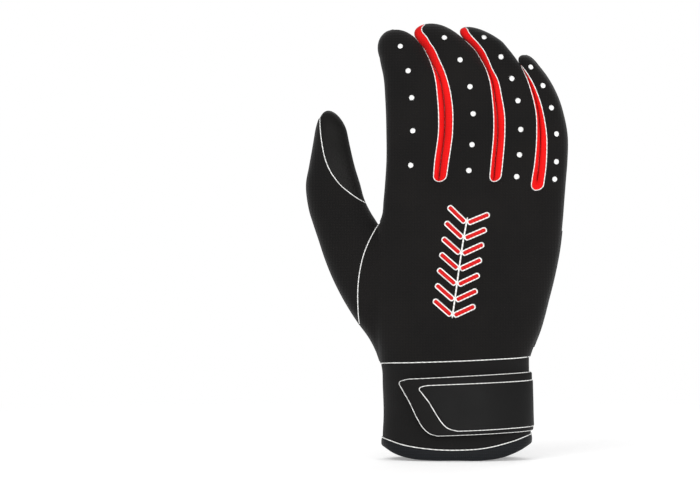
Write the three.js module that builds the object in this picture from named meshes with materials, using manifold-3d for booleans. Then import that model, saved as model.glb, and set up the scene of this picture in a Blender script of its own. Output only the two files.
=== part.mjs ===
// Batting glove for the right hand, in millimetres. It stands on the hem of its cuff with the fingers
// up (+Z), the back of the hand towards -Y, the palm towards +Y and the thumb towards -X.
// Every panel is cut from one hollow hand, so that neighbours meet along shared seams.

import * as THREE from 'three';
import { mergeVertices } from 'three/addons/utils/BufferGeometryUtils.js';
import Module from 'manifold-3d';

// Driving dimensions
const gloveLength = 246; // from the hem to the tip of the middle finger
const palmBreadth = 101.6; // across the roots of the four fingers
const palmDepth = 34; // back of the hand to the palm, behind the knuckles
const panelWall = 1.6; // leather and padded fabric panels
const cuffWall = 2.8; // neoprene of the cuff
const seamGap = 0.3; // between neighbouring pieces
const fingerGap = 0.9; // between the sides of two fingers
const overrun = 12; // how far a cutting body passes what it cuts

// Fingers
const curlDepth = 13; // how far the fingertips bend towards the palm
const archDepth = 3.5; // how far the outer edges of the hand bend towards the palm
const indexDepth = 20;
const middleDepth = 21;
const ringDepth = 19.5;
const littleDepth = 17.5;
const crotchRise = 4.6; // the slits between the fingers end higher on the palm
const stripWidths = [6.8, 5.4, 5.2]; // red strip seen between two fingers
const ventDiameter = 2.8;
const linerWall = 0.6;
const linerDrop = 7; // how far the liners reach below the slits between the fingers

// Thumb
const thumbDepth = 24;
const thumbBreadth = 35;
const thumbBaseForward = 5;
const thumbTipForward = 17;
const webBreadth = 15; // web between thumb and index finger
const webDepth = 15;
const webForward = 7.5;

// Grip patch on the heel of the palm
const patchThickness = 1.1;
const patchCorner = 8;

// Cuff
const hemThickness = 4.2;
const hemHeight = 5.8;
const hemRise = 8; // how far the sides of the hem lift off the ground
const hemFlatShare = 0.35; // middle part of the hem that stands on the ground
const cuffSeamHeight = 55.5;
const cuffSeamTilt = 3.4;
const cuffSeamDip = 2.4;

// Closure strap
const strapThickness = 2.2;
const strapOverlayThickness = 0.9;
const tapeThickness = 0.8; // hook tape and loop tape alike
const strapTop = 47.4;
const strapBottom = 15.2;
const strapCorner = 3.5;
const overlayMargin = 4.4;
const strapRootClearance = 0.6; // from the sewn end to the plane of the side seam

const circleSides = 8;
const fingerSides = 12;
const bodySides = 28;

const shareX = (share) => share * palmBreadth;
const shareZ = (share) => share * gloveLength;
const shareY = (share) => share * palmDepth;
const easeBetween = (value, low, high) => THREE.MathUtils.smoothstep(value, low, high);

// Trunk of the hand from hem to knuckles: height, left side, right side, back and palm of each section,
// as shares of the glove's length, the palm's breadth (sides) and the palm's depth (back and palm).
const trunkShares = [
  [-0.05, -0.312, 0.51, -0.66, 0.66],
  [0.0, -0.314, 0.514, -0.67, 0.67],
  [0.07, -0.31, 0.516, -0.68, 0.68],
  [0.135, -0.308, 0.516, -0.68, 0.68],
  [0.19, -0.312, 0.508, -0.66, 0.66],
  [0.23, -0.322, 0.503, -0.62, 0.62],
  [0.3, -0.345, 0.566, -0.54, 0.58],
  [0.4, -0.345, 0.632, -0.48, 0.57],
  [0.5, -0.325, 0.676, -0.43, 0.49],
  [0.57, -0.305, 0.694, -0.36, 0.38],
  [0.605, -0.285, 0.69, -0.29, 0.3],
  [0.635, -0.26, 0.66, -0.21, 0.23],
  [0.654, -0.2, 0.56, -0.1, 0.12],
];
const trunkRounding = 2.4; // exponent of the trunk's rounded section
const fingerRounding = 2.3;
const knuckleShares = [0.57, 0.654]; // the trunk's rounded top, hidden inside the fingers

// Where the hand's middle surface bends, as shares of the glove's length and the palm's breadth
const curlStartShare = 0.6;
const archMiddleShare = 0.2;
const archStartShares = [0.25, 0.45];
const thumbSideShares = [0.335, 0.47];
const thumbRootShares = [0.25, 0.33];
const thumbForwardShares = [0.23, 0.8];

// Edges between the fingers, from the thumb side of the index finger to the outer side of the little
// finger: across (share of the palm's breadth) at each height (share of the glove's length).
const edgeHeightShares = [0.5, 0.617, 0.677, 0.75, 0.823, 0.878, 0.915, 0.942, 0.963, 1.0];
const fingerEdgeShares = [
  [-0.3, -0.297, -0.286, -0.286, -0.292, -0.303, -0.322, -0.33, -0.336, -0.35],
  [-0.02, -0.003, 0.012, 0.034, 0.029, 0.001, -0.048, -0.0833, -0.122, -0.155],
  [0.29, 0.301, 0.314, 0.329, 0.316, 0.288, 0.2388, 0.1944, 0.144, 0.1],
  [0.53, 0.541, 0.558, 0.565, 0.539, 0.488, 0.4376, 0.388, 0.345, 0.26],
  [0.69, 0.7, 0.714, 0.714, 0.669, 0.6, 0.529, 0.47, 0.43, 0.36],
];
// The tips close as domes that lean on towards the thumb side; the lean starts at the given pace.
const fingers = [
  { name: 'index', depth: indexDepth, tipShare: 0.986, domeShare: 0.921, tipAcrossShare: -0.236, pace: 1.35 },
  { name: 'middle', depth: middleDepth, tipShare: 1.0, domeShare: 0.957, tipAcrossShare: -0.042, pace: 1.6 },
  { name: 'ring', depth: ringDepth, tipShare: 0.992, domeShare: 0.957, tipAcrossShare: 0.164, pace: 1.1 },
  { name: 'little', depth: littleDepth, tipShare: 0.927, domeShare: 0.903, tipAcrossShare: 0.475, pace: 1.4 },
];
const stripTopShares = [1, 1, 0.885];
const stripTurnShares = [0.86, 0.925]; // near its top a strip turns onto the finger on its right
const stripTurnRatios = [0.765, 0.7, 0]; // by this part of half its width
const fingerRootShare = 0.53; // the fingers start inside the trunk
const crotchShares = [0.644, 0.646, 0.627];
const backVentShares = [
  [0.947, 0.89, 0.828, 0.752, 0.673],
  [0.967, 0.915, 0.853, 0.791, 0.72, 0.661],
  [0.968, 0.922, 0.872, 0.821, 0.755, 0.697, 0.647],
  [0.899, 0.856, 0.805, 0.745, 0.681, 0.641],
];
const palmVentShares = [
  [0.933, 0.873, 0.807, 0.733, 0.662],
  [0.936, 0.864, 0.809, 0.745, 0.686],
  [0.924, 0.864, 0.807, 0.747, 0.674],
  [0.836, 0.756, 0.697],
];

// Thumb: the middle line from its root inside the palm to its tip.
const thumbLineShares = [
  [-0.09, 0.24],
  [-0.6, 0.475],
  [-0.61, 0.8],
];
const thumbDomeShare = 0.52;
const thumbDomePower = 2.3;
const thumbRootSwell = 0.06;
const webLineShares = [
  [-0.32, 0.46],
  [-0.325, 0.536],
];
// Outer side of the thumb: its base seam, then corners clear of the thumb
const thumbSideOutlineShares = [
  [-0.336, 0.85],
  [-0.336, 0.545],
  [-0.39, 0.5],
  [-0.425, 0.46],
  [-0.447, 0.397],
  [-0.446, 0.35],
  [-0.436, 0.307],
  [-0.4, 0.262],
  [-0.95, 0.262],
  [-0.95, 0.85],
];
// The palm's leather wraps round the end of the thumb as far as this seam
const thumbPadOutlineShares = [
  [-0.656, 0.85],
  [-0.656, 0.8],
  [-0.652, 0.745],
  [-0.628, 0.69],
  [-0.575, 0.642],
  [-0.49, 0.608],
  [-0.385, 0.584],
  [-0.32, 0.56],
  [-0.32, 0.85],
];
const heelPatchShares = [
  [0.28, 0.526],
  [0.03, 0.446],
  [-0.02, 0.412],
  [0.03, 0.368],
  [0.516, 0.252],
];

// Heights and places that follow from the sizes above
const middleX = shareX(0.11); // middle line of the cuff
const cuffHalfBreadth = shareX(0.42);
const liningInset = panelWall + seamGap;

const wasm = await Module();
wasm.setup();

// Closed mesh to solid, and back
function solidOf(geometry) {
  geometry.deleteAttribute('normal');
  geometry.deleteAttribute('uv');
  const merged = mergeVertices(geometry);
  const vertProperties = new Float32Array(merged.attributes.position.array);
  const triVerts = new Uint32Array(merged.index.array);
  return new wasm.Manifold(new wasm.Mesh({ numProp: 3, vertProperties, triVerts }));
}

function geometryOf(solid) {
  const mesh = solid.getMesh();
  const geometry = new THREE.BufferGeometry();
  geometry.setAttribute('position', new THREE.BufferAttribute(mesh.vertProperties, mesh.numProp));
  geometry.setIndex(new THREE.BufferAttribute(mesh.triVerts, 1));
  geometry.computeVertexNormals();
  return geometry;
}

const join = (solids) => solids.reduce((sum, solid) => sum.add(solid));

// Closed skin through a stack of rings that all have the same number of points
function loft(rings) {
  const sides = rings[0].length;
  const points = rings.flat();
  const index = [];
  for (let ring = 0; ring < rings.length - 1; ring++) {
    for (let side = 0; side < sides; side++) {
      const here = ring * sides + side;
      const next = ring * sides + ((side + 1) % sides);
      index.push(here, next, next + sides, here, next + sides, here + sides);
    }
  }
  const ends = [rings[0], rings[rings.length - 1]];
  ends.forEach((end, which) => {
    const centre = end.reduce((sum, point) => sum.add(point), new THREE.Vector3());
    const first = which * (rings.length - 1) * sides;
    points.push(centre.divideScalar(sides));
    for (let side = 0; side < sides; side++) {
      const corner = first + side;
      const next = first + ((side + 1) % sides);
      index.push(points.length - 1, which ? corner : next, which ? next : corner);
    }
  });
  const geometry = new THREE.BufferGeometry().setFromPoints(points);
  geometry.setIndex(index);
  return solidOf(geometry);
}

// Prism with the given outline as seen from the back of the hand, between two depths. The last
// argument may move its points.
function prism(outline, low = -gloveLength, high = gloveLength, move = (point) => point) {
  const shape = new THREE.Shape(outline);
  const geometry = new THREE.ExtrudeGeometry(shape, { depth: high - low, bevelEnabled: false });
  geometry.rotateX(Math.PI / 2);
  geometry.translate(0, high, 0);
  const points = geometry.attributes.position;
  for (let i = 0; i < points.count; i++) {
    const point = move(new THREE.Vector3().fromBufferAttribute(points, i));
    points.setXYZ(i, point.x, point.y, point.z);
  }
  return solidOf(geometry);
}

const outlineOf = (shares) => shares.map(([x, z]) => new THREE.Vector2(shareX(x), shareZ(z)));
const shifted = (outline, x, z) => outline.map((corner) => new THREE.Vector2(corner.x + x, corner.y + z));

// Smooth curve through a column of values at the given heights
function curveThrough(heights, rows) {
  const width = rows[0].length;
  return new THREE.CubicInterpolant(heights, rows.flat(), width, new Array(width));
}

// Outline with its inner corners rounded by quadratic curves
function roundedShape(corners, radius) {
  const path = new THREE.Path();
  corners.forEach((corner, i) => {
    const before = corners[(i + corners.length - 1) % corners.length];
    const after = corners[(i + 1) % corners.length];
    const inDirection = before.clone().sub(corner);
    const outDirection = after.clone().sub(corner);
    const cut = Math.min(radius, inDirection.length() / 2, outDirection.length() / 2);
    const start = corner.clone().add(inDirection.setLength(cut));
    const end = corner.clone().add(outDirection.setLength(cut));
    if (i === 0) path.moveTo(start.x, start.y);
    else path.lineTo(start.x, start.y);
    path.quadraticCurveTo(corner.x, corner.y, end.x, end.y);
  });
  path.closePath();
  return path.getPoints(4);
}

// Depth of the surface that parts back from palm: it curls with the fingertips, arches across the
// hand and follows the thumb forward.
function archAt(x, z) {
  const across = (x - shareX(archMiddleShare)) / (palmBreadth / 2);
  return archDepth * across * across * easeBetween(z / gloveLength, ...archStartShares);
}

function thumbForward(z) {
  const [low, high] = thumbForwardShares;
  const rise = THREE.MathUtils.clamp((z / gloveLength - low) / (high - low), 0, 1);
  return THREE.MathUtils.lerp(thumbBaseForward, thumbTipForward, rise);
}

function middleDepthAt(x, z) {
  const curl = Math.max(0, (z / gloveLength - curlStartShare) / (1 - curlStartShare));
  const hand = curlDepth * curl * curl + archAt(x, z);
  const towardsThumb = easeBetween(-x / palmBreadth, ...thumbSideShares);
  const aboveCuff = easeBetween(z / gloveLength, ...thumbRootShares);
  return THREE.MathUtils.lerp(hand, thumbForward(z), towardsThumb * aboveCuff);
}

// Rounded section: half widths along the side direction and in depth, with an own depth on each face
function ringOf(centre, side, halfWidth, backDepth, frontDepth, rounding, count) {
  const ring = [];
  const power = 2 / rounding;
  for (let i = 0; i < count; i++) {
    const angle = (i / count) * 2 * Math.PI;
    const across = Math.sign(Math.cos(angle)) * Math.abs(Math.cos(angle)) ** power;
    const deep = Math.sign(Math.sin(angle)) * Math.abs(Math.sin(angle)) ** power;
    const point = centre.clone().addScaledVector(side, halfWidth * across);
    point.y += deep * (deep < 0 ? backDepth : frontDepth);
    ring.push(point);
  }
  return ring;
}

const sideways = new THREE.Vector3(1, 0, 0);
const trunkHeights = trunkShares.map((row) => row[0]);
const trunkCurve = curveThrough(
  trunkHeights,
  trunkShares.map((row) => row.slice(1)),
);

// Trunk drawn in by the inset on every side, or swollen by a negative one. The inset may change
// across the hand.
function trunkSolid(inset, lowShare = trunkHeights[0], highShare = trunkHeights.at(-1)) {
  const insetAt = typeof inset === 'function' ? inset : () => inset;
  const levels = trunkHeights.filter((share) => share > lowShare && share < highShare);
  const rings = [lowShare, ...levels, highShare].map((share) => {
    const [left, right, back, palm] = trunkCurve.evaluate(share);
    const topDrop = insetAt(middleX) * easeBetween(share, ...knuckleShares);
    const centre = new THREE.Vector3((shareX(left) + shareX(right)) / 2, 0, shareZ(share) - topDrop);
    const halfWidth = (shareX(right) - shareX(left)) / 2;
    const ring = ringOf(centre, sideways, halfWidth, shareY(-back), shareY(palm), trunkRounding, bodySides);
    return ring.map((point) => {
      const depth = point.y < 0 ? shareY(-back) : shareY(palm);
      const drawIn = insetAt(point.x);
      point.x = centre.x + (point.x - centre.x) * (1 - drawIn / halfWidth);
      point.y *= 1 - drawIn / depth;
      point.y += archAt(point.x, point.z);
      return point;
    });
  });
  return loft(rings);
}

const edgeCurve = curveThrough(
  edgeHeightShares,
  edgeHeightShares.map((_, row) => fingerEdgeShares.map((edge) => edge[row])),
);

function fingerSection(number, share) {
  const finger = fingers[number];
  const edges = edgeCurve.evaluate(Math.min(share, finger.domeShare));
  const left = shareX(edges[number]) + (number > 0 ? fingerGap / 2 : 0);
  const right = shareX(edges[number + 1]) - (number < fingers.length - 1 ? fingerGap / 2 : 0);
  const rise = Math.max(0, (share - finger.domeShare) / (finger.tipShare - finger.domeShare));
  const centre = (left + right) / 2;
  const lean = rise * (finger.pace - (finger.pace - 1) * rise);
  return {
    x: THREE.MathUtils.lerp(centre, shareX(finger.tipAcrossShare), lean),
    halfWidth: (right - left) / 2,
    dome: Math.sqrt(Math.max(0, 1 - rise * rise)),
  };
}

// One finger, drawn in by the inset, from inside the trunk to its rounded tip
function fingerSolid(number, inset) {
  const finger = fingers[number];
  const straight = [0, 0.28, 0.52, 0.7, 0.86, 1];
  const dome = [0.4, 0.7, 0.9, 0.985];
  const tip = finger.tipShare - inset / gloveLength;
  const shares = [
    ...straight.map((step) => THREE.MathUtils.lerp(fingerRootShare, finger.domeShare, step)),
    ...dome.map((step) => THREE.MathUtils.lerp(finger.domeShare, tip, step)),
  ];
  const rings = shares.map((share) => {
    const rise = Math.max(0, (share - finger.domeShare) / (tip - finger.domeShare));
    const { x, halfWidth, dome: shrink } = fingerSection(number, share + (finger.tipShare - tip) * rise);
    const z = shareZ(share);
    const centre = new THREE.Vector3(x, middleDepthAt(x, z), z);
    const depth = (finger.depth / 2 - inset) * shrink;
    return ringOf(centre, sideways, (halfWidth - inset) * shrink, depth, depth, fingerRounding, fingerSides);
  });
  return loft(rings);
}

// The thumb, drawn in by the inset, from inside the palm to its tapered tip
function thumbSolid(inset) {
  const [root, bend, tip] = outlineOf(thumbLineShares);
  const line = new THREE.QuadraticBezierCurve(root, bend, tip);
  const end = 1 - inset / line.getLength();
  const steps = [0, 0.2, 0.38, 0.54, 0.68, 0.81, 0.91, 0.965, 0.995];
  const rings = steps.map((step) => {
    const at = step * end;
    const point = line.getPoint(at);
    const tangent = line.getTangent(at);
    const side = new THREE.Vector3(tangent.y, 0, -tangent.x);
    const centre = new THREE.Vector3(point.x, thumbForward(point.y), point.y);
    const rise = Math.max(0, (step - thumbDomeShare) / (1 - thumbDomeShare));
    const dome = Math.sqrt(Math.max(0, 1 - rise ** thumbDomePower));
    const rootSwell = 1 + thumbRootSwell * (1 - easeBetween(step, 0, thumbDomeShare));
    const halfWidth = (thumbBreadth / 2 * rootSwell - inset) * dome;
    const depth = (thumbDepth / 2 * rootSwell - inset) * dome;
    return ringOf(centre, side, halfWidth, depth, depth, fingerRounding, fingerSides);
  });
  return loft(rings);
}

// Web between thumb and index finger, a dome drawn in by the inset
function webSolid(inset) {
  const [low, high] = outlineOf(webLineShares);
  const rings = [0, 0.4, 0.7, 0.9, 0.985].map((step) => {
    const dome = Math.sqrt(1 - step * step);
    const z = THREE.MathUtils.lerp(low.y, high.y - inset, step);
    const centre = new THREE.Vector3(THREE.MathUtils.lerp(low.x, high.x, step), webForward, z);
    const halfWidth = (webBreadth / 2 - inset) * dome;
    const depth = (webDepth / 2 - inset) * dome;
    return ringOf(centre, sideways, halfWidth, depth, depth, fingerRounding, fingerSides);
  });
  return loft(rings);
}

function handSolid(inset) {
  const digits = fingers.map((_, number) => fingerSolid(number, inset));
  return join([trunkSolid(inset), thumbSolid(inset), webSolid(inset), ...digits]);
}

// Everything on the palm side of the parting surface, moved towards the palm by the offset
function palmSideSolid(offset) {
  const columns = [-0.8, -0.62, -0.47, -0.4, -0.33, -0.1, 0.15, 0.4, 0.65, 0.85];
  const rows = [-0.1, 0.2, 0.3, 0.4, 0.5, 0.6, 0.7, 0.78, 0.86, 0.93, 1.08];
  const rings = rows.map((row) => {
    const z = shareZ(row);
    const near = columns.map((column) => {
      const x = shareX(column);
      return new THREE.Vector3(x, middleDepthAt(x, z) + offset, z);
    });
    const far = [...near].reverse().map((point) => new THREE.Vector3(point.x, gloveLength, z));
    return [...near, ...far];
  });
  return loft(rings);
}

// Strip between two fingers, with a round lower end that climbs towards the palm
function stripSolid(number, margin) {
  const ownHalf = stripWidths[number] / 2;
  const half = ownHalf + margin;
  const bottom = shareZ(crotchShares[number]) - margin;
  const turn = bottom + half;
  const edgeAt = (z) => shareX(edgeCurve.evaluate(Math.min(z / gloveLength, 1))[number + 1]);
  const turnReach = ownHalf * stripTurnRatios[number];
  const middleAt = (z) => edgeAt(z) + turnReach * easeBetween(z / gloveLength, ...stripTurnShares);
  const heights = [0, 0.12, 0.25, 0.4, 0.55, 0.7, 0.82, 0.92, 1].map((step) =>
    THREE.MathUtils.lerp(turn, shareZ(stripTopShares[number]), step),
  );
  const right = heights.map((z) => new THREE.Vector2(middleAt(z) + half, z));
  const left = heights.map((z) => new THREE.Vector2(middleAt(z) - half, z)).reverse();
  const arc = [0.75, 0.5, 0.25].map((step) => {
    const angle = Math.PI * (1 + step);
    return new THREE.Vector2(edgeAt(turn) + half * Math.cos(angle), turn + half * Math.sin(angle));
  });
  const outline = [...right, ...left, ...arc.reverse()];
  const slope = crotchRise / middleDepth;
  return prism(outline, -palmDepth, palmDepth, (point) => {
    const fade = 1 - easeBetween(point.z, turn, turn + 4 * palmDepth / 3);
    point.z += slope * point.y * fade;
    return point;
  });
}

// Body below the line across the cuff at the given height, which may fall or rise to the sides
function belowLine(heightAt, tilt) {
  const steps = [-1.4, -1, -0.8, -0.6, -0.35, 0, 0.35, 0.6, 0.8, 1, 1.4];
  const line = steps.map((step) => {
    return new THREE.Vector2(middleX + step * cuffHalfBreadth, heightAt(Math.min(1, Math.abs(step)), step));
  });
  const bottom = -2 * overrun;
  const outline = [
    new THREE.Vector2(line[0].x, bottom),
    new THREE.Vector2(line.at(-1).x, bottom),
    ...line.reverse(),
  ];
  const slope = tilt / palmDepth;
  return prism(outline, -palmDepth, palmDepth, (point) => {
    if (point.z > bottom) point.z -= slope * point.y;
    return point;
  });
}

const cuffSeamAt = (out, step) => cuffSeamHeight - cuffSeamDip * (1 - out * out) + step;
const groundAt = (out) => hemRise * Math.max(0, (out - hemFlatShare) / (1 - hemFlatShare)) ** 2;
const hemTopAt = (out) => hemHeight + hemRise * out * out;

const outer = handSolid(0);
const panelShell = outer.subtract(handSolid(panelWall));
const belowCuffSeam = belowLine(cuffSeamAt, cuffSeamTilt);
const belowPanels = belowLine((out, step) => cuffSeamAt(out, step) + seamGap, cuffSeamTilt);
const handShell = panelShell.subtract(belowPanels);

// Regions of the hand's surface
const palmSide = palmSideSolid(seamGap / 2);
const palmSideGrown = palmSideSolid(-seamGap / 2);
const padOutline = outlineOf(thumbPadOutlineShares);
const thumbPad = prism(padOutline);
const thumbPadGrown = join([
  thumbPad,
  prism(shifted(padOutline, -seamGap, 0)),
  prism(shifted(padOutline, 0, -seamGap)),
]);
const thumbOutline = outlineOf(thumbSideOutlineShares).reverse();
const thumbRegion = prism(thumbOutline);
const thumbRegionGrown = prism(shifted(thumbOutline, seamGap, -seamGap));
const strips = stripWidths.map((_, number) => stripSolid(number, 0));
const stripsGrown = join(stripWidths.map((_, number) => stripSolid(number, seamGap)));

// Vent hole through one face of a finger
function ventHole(number, share, towards) {
  const edges = edgeCurve.evaluate(share);
  const leftStrip = number > 0 ? stripWidths[number - 1] / 2 : 0;
  const rightStrip = number < stripWidths.length ? stripWidths[number] / 2 : 0;
  const { x } = fingerSection(number, share);
  const panelMiddle = (shareX(edges[number] + edges[number + 1]) + leftStrip - rightStrip) / 2;
  const nearTip = easeBetween(share, fingers[number].domeShare, fingers[number].tipShare);
  const across = THREE.MathUtils.lerp(panelMiddle, x, nearTip);
  const z = shareZ(share);
  const geometry = new THREE.CylinderGeometry(ventDiameter / 2, ventDiameter / 2, palmDepth, circleSides);
  geometry.translate(across, middleDepthAt(across, z) + towards * palmDepth / 2, z);
  return solidOf(geometry);
}

const ventsOf = (table, towards) =>
  join(table.flatMap((shares, number) => shares.map((share) => ventHole(number, share, towards))));
const backVents = ventsOf(backVentShares, -1);
const palmVents = ventsOf(palmVentShares, 1);

// Hand panels
const palmPanel = handShell
  .intersect(palmSide.add(thumbPad))
  .subtract(stripsGrown)
  .subtract(palmVents);
const backSide = handShell.subtract(palmSideGrown).subtract(stripsGrown);
const backPanel = backSide.subtract(thumbRegionGrown).subtract(backVents);
const thumbBackPanel = backSide.intersect(thumbRegion).subtract(thumbPadGrown);
const fourchettes = strips.map((strip) => handShell.intersect(strip));

// Grip patch: a second skin over the heel of the palm
function heelPatchSolid() {
  const corners = outlineOf(heelPatchShares);
  const outside = palmBreadth;
  const lastCorner = corners.at(-1);
  corners.push(new THREE.Vector2(outside, lastCorner.y));
  corners.push(new THREE.Vector2(outside, corners[0].y));
  const outline = roundedShape(corners.reverse(), patchCorner);
  const skin = handSolid(-seamGap - patchThickness).subtract(handSolid(-seamGap));
  return skin.intersect(palmSideSolid(seamGap)).intersect(prism(outline));
}

// Cuff
const cuffHighShare = 0.26;
const cutShare = 0.01; // how far a cutting body passes both ends
const belowGround = belowLine(groundAt, 0);
const belowHemTop = belowLine(hemTopAt, 0);
const belowBand = belowLine((out) => hemTopAt(out) + seamGap, 0);

function cuffRing(outset, inset) {
  return trunkSolid(-outset, trunkHeights[0], cuffHighShare).subtract(
    trunkSolid(inset, trunkHeights[0] - cutShare, cuffHighShare + cutShare),
  );
}

const cuffBand = cuffRing(0, cuffWall).intersect(belowCuffSeam).subtract(belowBand);
const hemBulge = (hemThickness - cuffWall) / 2;
const hemBinding = cuffRing(hemBulge, cuffWall + hemBulge).intersect(belowHemTop).subtract(belowGround);

// Closure strap and its tapes. Each is a skin over the back of the cuff, with its own outline.
const strapRootX = shareX(trunkShares[3][2]);
const strapClimbShare = 0.3; // it lies at its full height this far from the sewn end
const tapeStack = 2 * tapeThickness + 3 * seamGap;

// Height of the strap's underside over the cuff: it lies on the cuff at its sewn end and climbs
// over the tapes towards its free end.
function strapLift(x) {
  const fromRoot = strapRootX - x;
  return THREE.MathUtils.lerp(seamGap, tapeStack, easeBetween(fromRoot, 0, shareX(strapClimbShare)));
}

function skinOverCuff(lift, thickness) {
  return trunkSolid((x) => -lift(x) - thickness, cutShare, cuffHighShare).subtract(
    trunkSolid((x) => -lift(x), 0, cuffHighShare + cutShare),
  );
}

// Outline of the strap drawn in by the margin: square at the sewn end, slanted and rounded at the
// free end. Its height falls and its lower corner lies further right.
const strapFreeShare = -0.22;
const freeMarginRatio = 2.4; // the inner outline ends further from the free end than from the edges
const strapSlantShares = [0.5, 0.72];

function strapOutline(margin) {
  const top = strapTop - margin;
  const bottom = strapBottom + margin / 2;
  const freeTop = shareX(strapFreeShare) + margin * freeMarginRatio;
  const [slantMiddle, slantEnd] = strapSlantShares.map((share) => freeTop + share * (top - bottom));
  const corners = [
    new THREE.Vector2(freeTop, top - strapCorner),
    new THREE.Vector2(slantMiddle, bottom + strapCorner),
    new THREE.Vector2(slantEnd, bottom),
    new THREE.Vector2(palmBreadth, bottom + strapCorner / 2),
    new THREE.Vector2(palmBreadth, top + strapCorner / 2),
    new THREE.Vector2(freeTop + strapCorner * 2, top - strapCorner / 3),
  ];
  return roundedShape(corners, strapCorner);
}

// Everything above a height, between two depths
function aboveHeight(height, low, high) {
  const corners = [
    new THREE.Vector2(-palmBreadth, height),
    new THREE.Vector2(palmBreadth, height),
    new THREE.Vector2(palmBreadth, gloveLength + overrun),
    new THREE.Vector2(-palmBreadth, gloveLength + overrun),
  ];
  return prism(corners, low, high);
}

const strapSide = aboveHeight(-overrun, -gloveLength, -strapRootClearance);
const overlaySide = aboveHeight(-overrun, -gloveLength, -strapRootClearance - overlayMargin);
const strap = skinOverCuff(strapLift, strapThickness).intersect(strapSide).intersect(prism(strapOutline(0)));
const overlayLift = (x) => strapLift(x) + strapThickness + seamGap;
const strapOverlay = skinOverCuff(overlayLift, strapOverlayThickness)
  .intersect(overlaySide)
  .intersect(prism(strapOutline(overlayMargin)));

const tapeShares = [-0.17, 0.16];
function tapeOutline(margin) {
  const [tapeLeft, tapeRight] = tapeShares.map(shareX);
  const slant = (strapTop - strapBottom) / 3;
  const corners = [
    new THREE.Vector2(tapeLeft + margin, strapTop - overlayMargin - margin),
    new THREE.Vector2(tapeLeft + slant + margin, strapBottom + overlayMargin + margin),
    new THREE.Vector2(tapeRight - margin, strapBottom + overlayMargin + margin),
    new THREE.Vector2(tapeRight - margin, strapTop - overlayMargin - margin),
  ];
  return roundedShape(corners, strapCorner);
}

const loopPatch = skinOverCuff(() => seamGap, tapeThickness)
  .intersect(strapSide)
  .intersect(prism(tapeOutline(0)));
const hookLift = (x) => strapLift(x) - seamGap - tapeThickness;
const hookPatch = skinOverCuff(hookLift, tapeThickness)
  .intersect(strapSide)
  .intersect(prism(tapeOutline(strapCorner / 2)));

// Knitted liner of one finger, an open sleeve inside the panels
function linerSolid(number) {
  const low = shareZ(crotchShares[Math.min(number, crotchShares.length - 1)]) - linerDrop;
  const skin = fingerSolid(number, liningInset).subtract(fingerSolid(number, liningInset + linerWall));
  return skin.intersect(aboveHeight(low, -gloveLength, gloveLength));
}

const black = { color: 0x222020, roughness: 0.82, metalness: 0 };
const leather = { color: 0x262423, roughness: 0.6, metalness: 0 };
const red = { color: 0xe11e1e, roughness: 0.85, metalness: 0 };
const white = { color: 0xf2f2f0, roughness: 0.9, metalness: 0 };
const rubber = { color: 0x1c1d20, roughness: 0.5, metalness: 0 };

const glove = new THREE.Group();
function addPiece(name, solid, look) {
  const mesh = new THREE.Mesh(geometryOf(solid), new THREE.MeshStandardMaterial(look));
  mesh.name = name;
  glove.add(mesh);
}

addPiece('palm_panel', palmPanel, leather);
addPiece('back_panel', backPanel, black);
addPiece('thumb_back_panel', thumbBackPanel, black);
addPiece('fourchette_index_middle', fourchettes[0], red);
addPiece('fourchette_middle_ring', fourchettes[1], red);
addPiece('fourchette_ring_little', fourchettes[2], red);
addPiece('heel_patch', heelPatchSolid(), rubber);
addPiece('cuff_band', cuffBand, black);
addPiece('cuff_hem_binding', hemBinding, rubber);
addPiece('closure_strap', strap, rubber);
addPiece('strap_overlay', strapOverlay, black);
addPiece('strap_hook_patch', hookPatch, black);
addPiece('cuff_loop_patch', loopPatch, black);
fingers.forEach((finger, number) => addPiece(`liner_${finger.name}`, linerSolid(number), white));

// The origin lies under the middle of the whole glove.
const box = new THREE.Box3().setFromObject(glove);
const centre = box.getCenter(new THREE.Vector3());
glove.position.set(-centre.x, -centre.y, -box.min.z);

export default glove;
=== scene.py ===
import math
import bmesh
import bpy
import numpy as np
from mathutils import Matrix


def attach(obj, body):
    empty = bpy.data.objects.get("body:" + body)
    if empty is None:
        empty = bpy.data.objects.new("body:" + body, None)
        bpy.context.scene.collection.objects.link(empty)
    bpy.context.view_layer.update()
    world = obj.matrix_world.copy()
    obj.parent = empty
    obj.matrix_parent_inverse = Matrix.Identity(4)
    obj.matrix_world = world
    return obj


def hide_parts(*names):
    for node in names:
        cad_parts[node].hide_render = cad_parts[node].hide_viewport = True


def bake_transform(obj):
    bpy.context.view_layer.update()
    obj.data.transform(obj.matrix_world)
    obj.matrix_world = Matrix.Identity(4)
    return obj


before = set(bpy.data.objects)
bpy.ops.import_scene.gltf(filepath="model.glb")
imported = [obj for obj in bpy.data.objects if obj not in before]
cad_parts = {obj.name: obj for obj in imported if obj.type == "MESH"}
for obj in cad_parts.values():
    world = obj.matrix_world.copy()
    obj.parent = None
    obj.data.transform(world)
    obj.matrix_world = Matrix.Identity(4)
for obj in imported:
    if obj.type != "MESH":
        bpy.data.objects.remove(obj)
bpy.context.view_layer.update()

# Batting glove for the right hand. It stands on the hem of its cuff with the fingers up, the back of
# the hand towards -Y, the palm towards +Y and the thumb towards -X.
# Shapes are worked out in millimetres with x = 0 near the middle of the wrist, and put into the mesh
# in metres.

back, palm = -1, 1  # the two sides of the hand, as signs of y

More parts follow.
